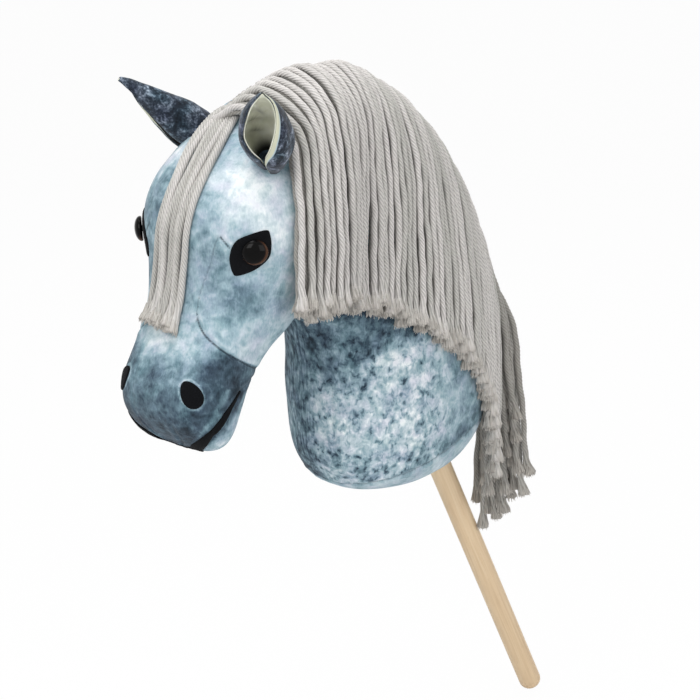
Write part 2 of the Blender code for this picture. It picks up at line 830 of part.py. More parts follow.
def eye_frame():
    """Local Z out of the left eye, from the plush's surface."""
    normal = skin_normal(head_skin, EYE_AT, EYE_ANGLE)
    centre = head_skin(EYE_AT, EYE_ANGLE)
    return Matrix.Translation(centre) @ Vector((0, 0, 1)).rotation_difference(normal).to_matrix().to_4x4()


def eye(name, mirrored):
    """The dome, its rim and the shank that goes through the felt and the plush."""
    seat = FELT_LIFT + FELT_THICKNESS + FIT
    profile = [(0.0, seat - SHANK_LENGTH), (SHANK_RADIUS, seat - SHANK_LENGTH), (SHANK_RADIUS, seat)]
    profile += [(EYE_RADIUS, seat), (EYE_RADIUS, seat + EYE_RIM)]
    for k in range(1, 6):
        turn = math.pi / 2 * k / 5
        height = seat + EYE_RIM + (EYE_HEIGHT - EYE_RIM) * math.sin(turn)
        profile.append((EYE_RADIUS * math.cos(turn) if k < 5 else 0.0, height))
    return turned(name, profile, EYE_SIDES, eye_frame(), "eye", mirrored)


def eye_washer(name, mirrored):
    inner = SHANK_RADIUS + FIT
    low = -WASHER_DEPTH
    high = low + WASHER_THICKNESS
    profile = [(inner, low), (WASHER_RADIUS, low), (WASHER_RADIUS, high), (inner, high)]
    return turned(name, profile, EYE_SIDES, eye_frame(), "washer", mirrored)


def eye_tools(mirrored):
    """What the eye cuts: a hole in the cloth, and a hole with a pocket for the washer."""
    bore = SHANK_RADIUS + FIT
    end = -SHANK_LENGTH
    hole = [(0.0, end), (bore, end), (bore, 0.02), (0.0, 0.02)]
    low = -WASHER_DEPTH - FIT
    wide = WASHER_RADIUS + FIT
    pocket = [(0.0, end), (bore, end), (bore, low), (wide, low), (wide, 0.02), (0.0, 0.02)]
    return (
        turned("eye_hole", hole, EYE_SIDES, eye_frame(), "eye", mirrored),
        turned("eye_pocket", pocket, EYE_SIDES, eye_frame(), "eye", mirrored),
    )


def ear_axes():
    """The left ear's root, and the ways along it, out of its opening and across it."""
    root = head_skin(EAR_AT, EAR_ANGLE)
    axis = Vector(EAR_AXIS).normalized()
    opens = Vector(EAR_OPENS)
    opens = (opens - axis * opens.dot(axis)).normalized()
    return root, axis, opens, axis.cross(opens)


def ear_cup(name, inset, thickness, steps, colour, mirrored):
    """One cupped leaf of the ear, which tapers from the root to the tip."""
    root, axis, opens, across = ear_axes()
    radii = [(row[0], row[1]) for row in EAR_ROWS]
    arcs = [(row[0], row[2]) for row in EAR_ROWS]
    start = EAR_ROWS[0][0]
    outer, inner = [], []
    for i in range(steps):
        share = start + (1.0 - start) * i / (EAR_STEPS - 1)
        centre = root + axis * EAR_LENGTH * share - opens * EAR_CURL * max(share, 0.0) ** 3
        radius = along(radii, share) - inset
        half = math.radians(along(arcs, share))
        rows = []
        for size in (radius, radius - thickness):
            row = []
            for k in range(EAR_COLUMNS):
                turn = half * (2 * k / (EAR_COLUMNS - 1) - 1)
                row.append(centre + (across * math.sin(turn) - opens * math.cos(turn)) * size)
            rows.append(row)
        outer.append(rows[0])
        inner.append(rows[1])
    return slab_object(name, outer, inner, colour, mirrored)


def ear_hinge(side):
    """The hinge's centre and axis, across the ear's root. side is 1 on the left, -1 on the right."""
    root, _, _, across = ear_axes()
    return Vector((side * root.x, root.y, root.z)), Vector((across.x, side * across.y, side * across.z))


def ear_room(point, normal):
    """How far off the head an ear has to stay there, so that it can swing about its hinge."""
    centre, axis = ear_hinge(1 if point.x > 0 else -1)
    arm = point - centre
    sweep = abs(axis.cross(arm).dot(normal)) * math.sin(EAR_SWING)
    lift = abs(arm.dot(normal)) * (1 - math.cos(EAR_SWING))
    return FIT + min(sweep + lift, EAR_ROOM_LIMIT)


def mouth(field):
    """The felt line of the mouth: from the left corner under the muzzle to the right one."""
    left = []
    for k in range(MOUTH_STEPS):
        at = MOUTH_CORNER + (MOUTH_END - MOUTH_CORNER) * k / (MOUTH_STEPS - 1)
        angle = along(JAW_SEAM, at)
        left.append((head_skin(at, angle), skin_normal(head_skin, at, angle)))
    ends = [(Vector((-p.x, p.y, p.z)), Vector((-n.x, n.y, n.z))) for p, n in reversed(left)]
    path = left + ends
    widths = []
    for k in range(len(path)):
        share = min(k, len(path) - 1 - k) / MOUTH_TAPER
        widths.append(MOUTH_CORNER_WIDTH + (MOUTH_WIDTH - MOUTH_CORNER_WIDTH) * min(share, 1.0))
    shares = (-1.0, -0.5, 0.0, 0.5, 1.0)
    top = MOUTH_LIFT + FELT_THICKNESS
    return ribbon("mouth", field, path, widths, shares, MOUTH_LIFT, top, "felt")


def nostril_outline():
    """The egg of a nostril, tilted."""
    outline = []
    for k in range(NOSTRIL_SIDES):
        turn = -2 * math.pi * k / NOSTRIL_SIDES
        b = NOSTRIL_WIDTH / 2 * math.cos(turn)
        u = NOSTRIL_LENGTH / 2 * math.sin(turn)
        outline.append(
            (
                b * math.cos(NOSTRIL_TILT) - u * math.sin(NOSTRIL_TILT),
                b * math.sin(NOSTRIL_TILT) + u * math.cos(NOSTRIL_TILT),
            )
        )
    return outline


def set_origin(obj, place, parent):
    """Move an object's origin to a place without moving its shape, and parent it."""
    obj.data.transform(Matrix.Translation(-place))
    obj.location = place - parent.location
    obj.parent = parent


def empty(name, place):
    made = bpy.data.objects.new(name, None)
    made.location = place
    bpy.context.scene.collection.objects.link(made)
    return made


def build():
    for obj in list(bpy.data.objects):
        bpy.data.objects.remove(obj)

    neck_field = full_loft("neck_field", neck_skin, NECK_ROWS, FIELD_RINGS, FIELD_SIDES, 0.0)
    head_field = full_loft("head_field", head_skin, HEAD_ROWS, FIELD_RINGS, FIELD_SIDES, 0.0)
    field = Field([neck_field, head_field])
    head_only = Field([head_field])
    guides = [neck_field, head_field]

    # Solids that cut: the head and the neck, a fit larger, and the stick's way in.
    neck_cutter = full_loft("neck_cutter", neck_skin, NECK_ROWS, NECK_RINGS, RING_SIDES, PANEL_FIT)
    head_cutter = full_loft("head_cutter", head_skin, HEAD_ROWS, HEAD_RINGS, RING_SIDES, PANEL_FIT)
    core = -PLUSH_THICKNESS - STUFFING_GAP
    core_cutter = full_loft("core_cutter", head_skin, HEAD_ROWS, HEAD_CORE_RINGS, CORE_SIDES, core + FIT)
    ear_cutter = full_loft("ear_cutter", head_skin, HEAD_ROWS, FIELD_RINGS, FIELD_SIDES, ear_room)
    below = STICK_SHOWING - 0.05
    sleeve_end = STICK_SHOWING + STICK_INSIDE + FIT + SLEEVE_END_WALL + FIT
    sleeve_radius = STICK_DIAMETER / 2 + SLEEVE_CLEARANCE + SLEEVE_WALL + FIT
    sleeve_cutter = stick_path("sleeve_cutter", sleeve_radius, STICK_SHOWING + SLEEVE_SETBACK - FIT, sleeve_end)
    stick_radius = STICK_DIAMETER / 2 + STICK_HOLE_CLEARANCE
    stick_cutter = stick_path("stick_cutter", stick_radius, below, STICK_SHOWING + STICK_INSIDE)
    guides += [neck_cutter, head_cutter, core_cutter, ear_cutter, sleeve_cutter, stick_cutter]

    made = {}
    made["stick"] = stick()
    made["stick_sleeve"] = stick_sleeve()
    made["head_stuffing"] = full_loft("head_stuffing", head_skin, HEAD_ROWS, HEAD_CORE_RINGS, CORE_SIDES, core)
    made["neck_stuffing"] = full_loft("neck_stuffing", neck_skin, NECK_ROWS, NECK_CORE_RINGS, CORE_SIDES, core)
    cut(made["neck_stuffing"], [core_cutter, sleeve_cutter, stick_cutter])

    panels = [
        panel("face_gusset", head_skin, *PANEL_GRIDS["face_gusset"], gusset_place, "plush"),
        panel("jaw_gusset", head_skin, *PANEL_GRIDS["jaw_gusset"], jaw_place, "plush_pale"),
    ]
    for side, mirrored in (("left", False), ("right", True)):
        for word, place in (("cheek_panel", cheek_place), ("muzzle_panel", muzzle_place)):
            name = f"{word}_{side}"
            panels.append(panel(name, head_skin, *PANEL_GRIDS[word], place, "plush", mirrored))
    for obj in panels:
        cut(obj, [neck_cutter])
        made[obj.name] = obj

    throat = panel("throat_gusset", neck_skin, *PANEL_GRIDS["throat_gusset"], throat_place, "plush")
    neck_panels = [throat, base_panel()]
    for side, mirrored in (("left", False), ("right", True)):
        name = f"neck_panel_{side}"
        neck_panels.append(
            panel(name, neck_skin, *PANEL_GRIDS["neck_panel"], neck_side_place, "plush", mirrored)
        )
    for obj in neck_panels:
        cut(obj, [head_cutter, stick_cutter])
        made[obj.name] = obj

    for side, mirrored in (("left", False), ("right", True)):
        spot = felt(f"eye_felt_{side}", head_only, EYE_AT, EYE_ANGLE, EYE_FELT_OUTLINE, mirrored)
        hole, pocket = eye_tools(mirrored)
        guides += [hole, pocket]
        cut(spot, [hole])
        cut(made[f"cheek_panel_{side}"], [hole])
        cut(made["head_stuffing"], [pocket])
        made[spot.name] = spot
        made[f"eye_{side}"] = eye(f"eye_{side}", mirrored)
        made[f"eye_washer_{side}"] = eye_washer(f"eye_washer_{side}", mirrored)
        made[f"nostril_{side}"] = felt(
            f"nostril_{side}", head_only, NOSTRIL_AT, NOSTRIL_ANGLE, nostril_outline(), mirrored
        )
        shell = ear_cup(f"ear_{side}", 0.0, EAR_THICKNESS, EAR_STEPS, "plush_dark", mirrored)
        inset = EAR_THICKNESS + EAR_SEAM_GAP
        steps = EAR_STEPS - 1
        lining = ear_cup(f"ear_lining_{side}", inset, EAR_LINING_THICKNESS, steps, "ear_lining", mirrored)
        for obj in (shell, lining):
            cut(obj, [ear_cutter])
            made[obj.name] = obj

    made["mouth"] = mouth(head_only)
    made["mane_tape"] = mane_tape(field)
    for obj in mane_locks(field) + mane_tails(field):
        made[obj.name] = obj
    made["forelock"] = forelock()

    for guide in guides:
        bpy.data.objects.remove(guide)

    horse = empty("horse", stick_exit())
    stick_axis = empty("stick_axis", Vector((0, 0, 0)))
    hinges = {side: empty(f"ear_hinge_{side}", ear_hinge(sign)[0]) for side, sign in (("left", 1), ("right", -1))}
    for name, obj in made.items():
        obj.data.shade_smooth()
        obj.data.set_sharp_from_angle(angle=math.radians(35))
        side = name.rpartition("_")[2]
        if name == "stick":
            set_origin(obj, stick_axis.location.copy(), stick_axis)
        elif name.startswith("ear_"):
            set_origin(obj, hinges[side].location.copy(), hinges[side])
        else:
            set_origin(obj, horse.location.copy(), horse)


build()
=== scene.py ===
"""A plush hobby horse dressed over its CAD frame: dappled velour, felt, cut cords and a dowel.

Metres, +Z up, in the CAD's own frame. The horse looks along -Y and its left side is +X.
Most places are measured from the point where the stick's axis leaves the neck.
"""

import math
import random

import bpy
import numpy as np
from mathutils import Matrix, Vector, noise
from mathutils.bvhtree import BVHTree
from mathutils.kdtree import KDTree


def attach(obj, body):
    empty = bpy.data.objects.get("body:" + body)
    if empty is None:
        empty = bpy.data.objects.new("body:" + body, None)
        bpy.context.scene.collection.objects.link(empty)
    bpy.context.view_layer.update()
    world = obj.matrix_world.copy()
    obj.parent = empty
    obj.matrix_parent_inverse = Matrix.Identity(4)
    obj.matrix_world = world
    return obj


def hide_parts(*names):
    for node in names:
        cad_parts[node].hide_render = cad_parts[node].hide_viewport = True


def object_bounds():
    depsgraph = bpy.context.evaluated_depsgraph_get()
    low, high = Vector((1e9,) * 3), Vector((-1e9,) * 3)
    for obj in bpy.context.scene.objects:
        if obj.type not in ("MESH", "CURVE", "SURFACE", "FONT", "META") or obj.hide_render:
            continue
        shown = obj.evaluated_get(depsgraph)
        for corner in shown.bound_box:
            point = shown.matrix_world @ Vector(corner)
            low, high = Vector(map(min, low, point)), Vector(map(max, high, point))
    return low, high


# The photograph's camera, fitted to the stick's outline and the head's symmetry.
CAMERA_AZIMUTH = math.radians(41)
CAMERA_ELEVATION = math.radians(16)
CAMERA_DISTANCE = 2.497
CAMERA_LENS = 120
CAMERA_TARGET = Vector((-0.0951, -0.2126, 0.4315))

# The light of the room all round, the share of plain white in the floor that the camera sees,
# and the soft lamps: each one's place, size and power, and the point that they all face.
ROOM_LIGHT = 0.47
FLOOR_WHITE = 0.96
FLOOR_REACH = 9
LAMPS = (
    ("key_lamp", (0.4, -1.9, 1.5), 1.1, 17.0),
    ("side_lamp", (2.0, -0.4, 1.0), 1.3, 12.0),
    ("back_lamp", (-1.2, 1.4, 1.6), 1.0, 8.0),
    ("top_lamp", (-0.1, -0.5, 2.2), 1.2, 16.0),
)
LAMPS_FACE = Vector((0.0, -0.30, 0.42))

# The stick and the sleeve that it plugs into.
STICK_DIAMETER = 0.025
STICK_LEAN = math.radians(29.3)
STICK_SHOWING = 0.358
STICK_INSIDE = 0.230
STICK_FOOT_ROUND = 0.0100
SLEEVE_RADIUS = 0.0158
SLEEVE_SETBACK = 0.045
STICK_HOLE_RADIUS = 0.0131

# The neck, from the poll down to the base: the throat's y and z and the crest's y and
# z, from the stick's exit, and the half width.
NECK_ROWS = (
    (-0.298, 0.361, -0.227, 0.438, 0.040),
    (-0.270, 0.313, -0.177, 0.442, 0.055),
    (-0.244, 0.255, -0.113, 0.414, 0.066),
    (-0.221, 0.206, -0.048, 0.355, 0.071),
    (-0.208, 0.156, 0.003, 0.273, 0.077),
    (-0.206, 0.105, 0.029, 0.193, 0.081),
    (-0.199, 0.060, 0.036, 0.126, 0.081),
    (-0.176, 0.028, 0.028, 0.076, 0.073),
    (-0.144, 0.016, 0.014, 0.042, 0.056),
    (-0.110, 0.012, 0.001, 0.021, 0.034),
    (-0.078, 0.012, -0.018, 0.014, 0.014),
)
NECK_SQUARENESS = 2.3
THROAT_HALF_WIDTH = 0.026
BASE_SEAM_ROW = 6.9

# The head, from the poll to the mouth: the distance down its axis, how far in front of
# the axis the face and the jaw lie, and the half width.
POLL = (-0.283, 0.462)
HEAD_TILT = math.radians(19.5)
HEAD_ROWS = (
    (0.000, -0.060, -0.084, 0.012),
    (0.008, -0.040, -0.103, 0.040),
    (0.024, -0.020, -0.117, 0.055),
    (0.048, 0.004, -0.125, 0.067),
    (0.086, 0.034, -0.124, 0.079),
    (0.124, 0.051, -0.116, 0.087),
    (0.158, 0.052, -0.107, 0.086),
    (0.191, 0.037, -0.097, 0.079),
    (0.224, 0.030, -0.080, 0.070),
    (0.253, 0.032, -0.061, 0.063),
    (0.282, 0.039, -0.049, 0.060),
    (0.308, 0.043, -0.046, 0.060),
    (0.330, 0.035, -0.041, 0.056),
    (0.345, 0.018, -0.034, 0.046),
    (0.354, -0.002, -0.027, 0.028),
    (0.357, -0.012, -0.017, 0.006),
)
HEAD_SQUARENESS = 2.5

# The head's seams: the face gusset's half width and the jaw seam's angle by row, and
# the muzzle seam's row by the share of the way from the gusset to the jaw.
FACE_GUSSET = (
    (0.0, 0.006), (3.0, 0.038), (4.5, 0.047), (5.3, 0.052), (6.05, 0.045), (7.0, 0.030),
    (7.7, 0.024), (12.0, 0.024), (13.5, 0.018), (15.0, 0.002),
)
# The face gusset's seam: how deep and how dark it is by row.
GUSSET_SEAM = (
    (0.0, 0.5, 0.0), (5.9, 0.5, 0.0), (6.1, 0.0, 0.0), (9.2, 0.0, 0.0), (9.6, 0.3, 0.08),
    (12.4, 0.3, 0.08), (13.5, 1.0, 0.8),
)
JAW_SEAM = ((0.0, 2.5), (9.3, 2.5), (9.8, 2.3), (10.4, 1.75), (11.4, 1.55), (12.1, 1.42), (15.0, 1.40))
MUZZLE_SEAM = ((0.0, 8.45), (0.08, 8.80), (0.18, 9.05), (0.35, 9.28), (0.6, 9.47), (1.0, 9.60))
EYE_DART = ((6.05, 0.46), (6.30, 0.60))
# Where the cheek panel's edge shows: rows and angles from the dart down to the jaw.
CHEEK_EDGE = (
    (6.05, 0.46), (6.53, 0.38), (7.03, 0.31), (7.70, 0.25), (8.18, 0.26), (8.47, 0.31), (8.80, 0.46),
    (9.03, 0.66), (9.28, 1.03), (9.47, 1.49), (9.58, 1.75), (9.62, 2.3),
)

# The plush skin: how finely it is made, how deep its seams and lumps are, and how far from
# each other the head and the neck still blend.
SKIN_VOXEL = 0.0019
SEAM_DEPTH = 0.0016
SEAM_WIDTH = 0.0022
PUCKER_WIDTH = 0.007
PUCKER_STEP = 0.0075
PUCKER_DEPTH = 0.0009
# The cloth rises beside a seam, this share of the seam's depth.
SEAM_RIDGE = 0.45
# How soft the fold is where the head blends into the neck.
FOLD_SOFTNESS = 0.6
FOLD_PASSES = 14
LUMP_DEPTH = 0.0014
LUMP_SIZE = 0.060
# The smaller lumps among them: their share of the depth and of the size.
LUMP_DETAIL = 0.35
CREASE_REACH = 0.012
# The lower lip is stuffed a little fuller: its place on the head, its size and its depth.
LIP_AT = (12.9, 1.95)
LIP_SIZE = 0.022
LIP_DEPTH = 0.0050
# How far off the plush a ray starts that looks for the place of a piece on it.
RAY_FROM = 0.03
# Points of the joined skin further inside than this line the hole for the stick.
HOLE_DEPTH = 0.004
HOLE_MARGIN = 0.003
# The gathers round the hole: how deep and wide they are, how far out they reach and how many.
GATHER_DEPTH = 0.0009
GATHER_WIDTH = 0.010
GATHER_REACH = 0.020
GATHERS = 11

# The ears, limp cloth cups, 1 for the left and -1 for the right: the head's row and angle of
# the root, and the way that the cup opens.
EAR_AT = {1: 3.85, -1: 3.45}
EAR_ANGLE = 0.74
EAR_OPENS = (0.80, -0.60, 0.0)
# The way from root to tip, the length, how far the tip curls back and leans outwards, and
# the width of the lining that shows turned over the rear edge.
EAR_POSES = {
    1: ((0.44, -0.62, 0.64), 0.100, 0.004, 0.007, 0.0046),
    -1: ((0.46, -0.62, 0.575), 0.087, -0.006, 0.0, 0.0036),
}
# A share of the length, the cup's radius, and how far its front and rear edges reach round
# it from the middle of its back, in degrees.
EAR_CUPS = {
    1: (
        (-0.20, 0.0100, 152, 204), (0.00, 0.0132, 152, 204), (0.10, 0.0165, 152, 204),
        (0.20, 0.0200, 151, 204), (0.30, 0.0232, 149, 204), (0.38, 0.0248, 147, 204),
        (0.46, 0.0249, 118, 202), (0.53, 0.0242, 95, 194), (0.60, 0.0226, 85, 188),
        (0.66, 0.0210, 81, 184), (0.74, 0.0180, 75, 174), (0.82, 0.0145, 66, 158),
        (0.88, 0.0112, 58, 138), (0.95, 0.0072, 45, 100), (1.00, 0.0040, 30, 30),
    ),
    -1: (
        (-0.20, 0.0160, 158, 196), (0.00, 0.0195, 158, 196), (0.20, 0.0188, 158, 196),
        (0.40, 0.0152, 156, 194), (0.60, 0.0112, 150, 190), (0.78, 0.0080, 112, 150),
        (0.90, 0.0074, 86, 102), (1.00, 0.0052, 52, 52),
    ),
}
EAR_LAP = 0.0052
EAR_LAP_FROM = (110, 185)
EAR_THICKNESS = 0.0030
EAR_LINING_THICKNESS = 0.0012
# The inner face of a cloth counts as this many strips further from the edge, and is never
# coloured as turned over.
FAR_FROM_EDGE = 9.0
# The lining starts this far inside the shell.
EAR_LINING_SUNK = 0.0004
# How much shade is painted on the plush round an ear's root, and how far out.
EAR_SHADE = 0.7
EAR_SHADE_SIZE = 0.015
# The depths of the cloth's slow folds, of its ripples and of the folds near its rear edge.
EAR_FOLD = 0.0012
EAR_RIPPLE = 0.0010
EAR_REAR_FOLD = 0.0022
# Creases in the cup of the left ear: two ends, in degrees and shares, and how far each is
# pinched in and how much shade is painted on the lining in it.
EAR_CREASES = (((-50, 0.52), (14, 0.38)), ((-6, 0.66), (22, 0.42)), ((-40, 0.34), (10, 0.24)))
CREASE_SHADE = 0.5
CREASE_WIDTH = 0.0026
CREASE_DEPTH = 0.0055

# The eyes: a felt leaf on the cheek and a glossy dome on it.
EYE_AT = 6.25
EYE_ANGLE = 0.94
EYE_FELT_OUTLINE = (
    (0.0105, 0.0190), (-0.005, 0.0155), (-0.0175, 0.0087), (-0.0222, -0.0057), (-0.0196, -0.0206),
    (-0.0146, -0.0233), (0.0013, -0.0166), (0.0123, -0.0073), (0.0150, 0.0035), (0.0140, 0.0145),
)
FELT_THICKNESS = 0.0016
# The fuzz on the felt: its height and how fine it is.
FELT_FUZZ = 0.00012
FELT_FUZZ_SIZE = 0.0012
# How far off the plush the rays start that lay the felt on it, and the points round its edge.
FELT_RAY_FROM = 0.04
FELT_EDGE_POINTS = 72
EYE_RADIUS = 0.012
EYE_HEIGHT = 0.0072
EYE_RIM = 0.0012
# The iris ring is shifted this share of the radius, towards the side where light falls on it: painted light.
IRIS_SHIFT = 0.24
IRIS_LIT_SIDE = (0.0, 1.0, -0.6)
EYE_SEAT = 0.0018
SHANK_RADIUS = 0.003
SHANK_LENGTH = 0.018

# The felt nostrils and mouth.
NOSTRIL_AT = 10.9
NOSTRIL_ANGLE = 0.73
NOSTRIL_LENGTH = 0.0270
NOSTRIL_WIDTH = 0.0190
NOSTRIL_TILT = math.radians(33)
MOUTH_PATH = (
    (10.44, 1.73), (11.0, 1.62), (11.42, 1.57), (11.78, 1.52), (12.46, 1.34), (12.98, 1.20), (13.48, 1.10),
    (13.95, 1.14), (14.25, 1.50), (14.4, 2.20), (14.45, 3.10),
)
# The share of the way from a corner to the middle, and the felt's width there.
MOUTH_WIDTHS = ((0.0, 0.0026), (0.2, 0.0058), (0.45, 0.0080), (0.62, 0.0118), (1.0, 0.0125))

# The mane's cords. They open into a bell of fibres over the last CORD_FRAY of their length.
CORD_LENGTH = 0.250
CORD_RADIUS = 0.0034
CORD_STRANDS = 6
STRAND_SIDES = 3
STRAND_GROOVE = 0.26
CORD_PITCH = 0.026
CORD_STEP = 0.0024
# Near its root a cord is pressed softer, up to here.
CORD_FIRM_FROM = 0.03
CORD_FRAY = 0.0165
BELL_FLARE = 0.95
BELL_LICKS = 0.13
CUT_RAGGED = 0.0011
FRAY_FIBRES = 46
FRAY_WIDTH = 0.00040
# The front cords arch over the crest: how high, how far from the tape and over what reach, and
# between which roots the arch grows from a fifth to the whole.
CREST_LIFT = 0.0090
CREST_LIFT_AT = 0.035
CREST_LIFT_REACH = 0.050
CREST_LIFT_ROOTS = (-0.12, -0.20)
MANE_TAPE_WIDTH = 0.018
MANE_TAPE_THICKNESS = 0.0012
# From the tape's front end to its rear end, in degrees round a point inside the neck.
MANE_TAPE_TURNS = (-48, 118)
MANE_FRONT = -0.278
MANE_BACK = 0.026
MANE_LOCKS = 12
MANE_CORDS = 42
MANE_OVER_TAPE = 0.022
MANE_WAVE = 0.0009
# The waves of a limp cord: each one's share of the whole, and its length.
WAVES = ((1.0, 0.085), (0.45, 0.033))
# The steps in which a cord's way down is felt out, and how far above the horse and beside it
# the rays start that do so.
DRAPE_STEP = 0.004
DRAPE_ABOVE = 1.5
DRAPE_BESIDE = 0.3
# How unevenly the cords are sewn on, laid, cut and dyed, either way.
ROOT_STRAY = 0.0014
LIFT_STRAY = 0.0012
CUT_STRAY = 0.0060
TINT_STRAY = 0.35
# The two layers: how high they lie on the plush, how far they are shifted by shares of the
# cords' spacing, how much longer they hang, and the shade painted on them: the lower layer darker, the upper
# one a little paler.
MANE_LAYERS = ((0.0050, 0.5, 0.002, -0.45), (0.0114, 0.0, 0.010, 0.1))
MANE_FRONT_TRIM = 0.034
# The foremost cords begin this far over on the right side of the poll, and a few more
# of them lie under the rest behind the ear, this far apart, with shade painted on them.
MANE_FRONT_OVER = 0.018
MANE_FRONT_MORE = 7
MANE_MORE_STEP = 0.0055
MANE_FRONT_SWEEP = -0.33
MANE_STRAIGHT_FROM = -0.10
# How far the foremost cord lies forward of that, by its distance out from the middle:
# it is sewn at the poll and passes behind the ear.
FRONT_BEND = ((0.0, -0.038), (0.03, -0.025), (0.06, -0.010), (0.09, -0.023))

# The tail end of the mane: the layer, and the x and z of each cord's end from the stick's exit,
# how far back each layer hangs, and how far its cords flare at their ends.
TAIL_ENDS = (
    (0, 0.036, 0.074), (0, 0.048, 0.066), (0, 0.060, 0.070), (0, 0.068, 0.058),
    (0, 0.030, 0.042), (0, 0.043, 0.050), (0, 0.056, 0.044), (0, 0.067, 0.033), (0, 0.033, 0.022),
    (0, 0.046, 0.010), (0, 0.058, 0.015), (1, 0.020, 0.002), (1, 0.032, -0.019), (1, 0.046, -0.014),
    (1, 0.059, 0.003), (1, 0.069, -0.003), (1, 0.023, -0.026), (1, 0.052, -0.030), (2, 0.006, -0.052),
    (2, 0.015, -0.080), (2, 0.022, -0.061), (2, 0.031, -0.066), (2, 0.042, -0.057), (2, 0.057, -0.027),
    (2, 0.069, -0.030), (2, 0.076, -0.006), (2, 0.011, -0.040), (2, 0.037, -0.050), (2, 0.049, -0.040),
)
TAIL_BACK = (0.034, 0.042, 0.050)
TAIL_FLARE = 0.009
TAIL_WAVE = 0.0010

# The forelock lies on the face and drifts towards the right on its way down.
FORELOCK_TOP = 2.45
FORELOCK_BOTTOM = 9.05
FORELOCK_CORDS = 9
# A share of the way down, and how far its right and left edges lie from the middle of the face.
FORELOCK_EDGES = (
    (0.0, -0.032, -0.010), (0.12, -0.031, 0.002), (0.22, -0.027, 0.015), (0.34, -0.019, 0.018),
    (0.50, -0.019, 0.015), (0.72, -0.029, 0.003), (1.0, -0.032, 0.004),
)


# Values and lines, and the skins that they make.


def stick_direction():
    """Up the stick, from its foot."""
    return Vector((0.0, -math.sin(STICK_LEAN), math.cos(STICK_LEAN)))


def stick_exit():
    """The point on the stick's axis where it leaves the neck's base."""
    return stick_direction() * STICK_SHOWING


def catmull_rom(before, first, second, after, part):
    """A place between first and second on the smooth curve through all four."""
    return 0.5 * (
        2 * first
        + (second - before) * part
        + (2 * before - 5 * first + 4 * second - after) * part ** 2
        + (3 * first - before - 3 * second + after) * part ** 3
    )


def smooth_rows(rows, at):
    """The rows' values at fractional places, on a smooth curve through all the rows."""
    table = np.array(rows)
    last = len(rows) - 1
    at = np.clip(np.asarray(at, float), 0.0, last)
    here = np.minimum(at.astype(int), last - 1)
    around = [table[np.clip(here + step, 0, last)] for step in (-1, 0, 1, 2)]
    return np.moveaxis(catmull_rom(*around, (at - here)[..., None]), -1, 0)


def smooth_outline(outline, count):
    """A closed outline through the given points, rounded between them."""
    table = np.array(outline)
    at = len(table) * np.arange(count) / count
    here = at.astype(int)
    around = [table[(here + step) % len(table)] for step in (-1, 0, 1, 2)]
    return catmull_rom(*around, (at - here)[:, None]).tolist()


def rounded_path(corners, steps=12):
    """A smooth path through a few points, with so many steps from each to the next."""
    table = np.array([tuple(corner) for corner in corners])
    return smooth_rows(table, np.arange((len(table) - 1) * steps + 1) / steps).T


def columns_along(rows, at):
    """The later values of rows at a place between the rows' first values, in straight runs."""
    table = np.array(rows)
    return [np.interp(at, table[:, 0], column) for column in table.T[1:]]


def along(pairs, at):
    """The value at a place between pairs of place and value."""
    return columns_along(pairs, at)[0]


def rounded(value, squareness):
    """A sine or cosine, pushed outwards so that a ring is squarer than an ellipse."""
    return np.sign(value) * np.abs(value) ** (2.0 / squareness)


def smoothstep(low, high, value):
    """0 below low, 1 above high and a smooth rise between them."""
    share = np.clip((value - low) / (high - low), 0.0, 1.0)
    return share * share * (3 - 2 * share)


def bell(value, width):
    """1 at zero, falling away to both sides over the width."""
    return np.exp(-((value / width) ** 2))


def unit_rows(rows):
    """Each row of an array at the length of one."""
    return rows / np.linalg.norm(rows, axis=1)[:, None]


def carried_frames(line):
    """The ways along and across a line at each of its points, carried along without turning."""
    ahead = unit_rows(np.gradient(line, axis=0))
    start = np.array((0.0, 0.0, 1.0)) if abs(ahead[0][2]) < 0.8 else np.array((1.0, 0.0, 0.0))
    sides = np.empty_like(line)
    side = start - ahead[0] * start.dot(ahead[0])
    for k in range(len(line)):
        side = side - ahead[k] * side.dot(ahead[k])
        side /= np.linalg.norm(side)
        sides[k] = side
    return ahead, sides, np.cross(ahead, sides)


def smoothed(line, passes):
    """A line or a grid with each row but its ends moved halfway to the middle of its neighbours."""
    for _ in range(passes):
        line[1:-1] += (line[:-2] + line[2:] - 2 * line[1:-1]) * 0.25
    return line


def run_along(line):
    """How far along a line each of its points lies."""
    return np.concatenate(([0.0], np.cumsum(np.linalg.norm(np.diff(line, axis=0), axis=1))))


def evenly(path, length, step):
    """Points along the first length of a path, one for each step."""
    run = run_along(path)
    length = min(length, run[-1])
    goal = np.linspace(0.0, length, max(int(length / step), 2))
    return np.stack([np.interp(goal, run, path[:, k]) for k in range(3)], axis=1)


def ring_points(front, back, half_width, squareness, angle):
    """Points of a ring from the y and z of its front and back: a quarter turn is its left side."""
    reach = rounded(np.cos(angle), squareness)
    start = stick_exit()
    x = half_width * rounded(np.sin(angle), squareness)
    y = start.y + (front[0] + back[0]) / 2 + (front[0] - back[0]) / 2 * reach
    z = start.z + (front[1] + back[1]) / 2 + (front[1] - back[1]) / 2 * reach
    return np.stack(np.broadcast_arrays(x, y, z), axis=-1)


def neck_skin(at, angle):
    """Points of the neck's outside: at counts its rows, angle turns from the throat."""
    throat_y, throat_z, crest_y, crest_z, width = smooth_rows(NECK_ROWS, at)
    return ring_points((throat_y, throat_z), (crest_y, crest_z), width, NECK_SQUARENESS, angle)


def head_skin(at, angle):
    """Points of the head's outside: at counts its rows, angle turns from the face."""
    down, face, jaw, width = smooth_rows(HEAD_ROWS, at)
    sine, cosine = math.sin(HEAD_TILT), math.cos(HEAD_TILT)
    middle = (POLL[0] - sine * down, POLL[1] - cosine * down)
    front = (middle[0] - cosine * face, middle[1] + sine * face)
    back = (middle[0] - cosine * jaw, middle[1] + sine * jaw)
    return ring_points(front, back, width, HEAD_SQUARENESS, angle)


def skin_point(skin, at, angle):
    """One point of the neck's or the head's outside."""
    return Vector(skin(at, angle))


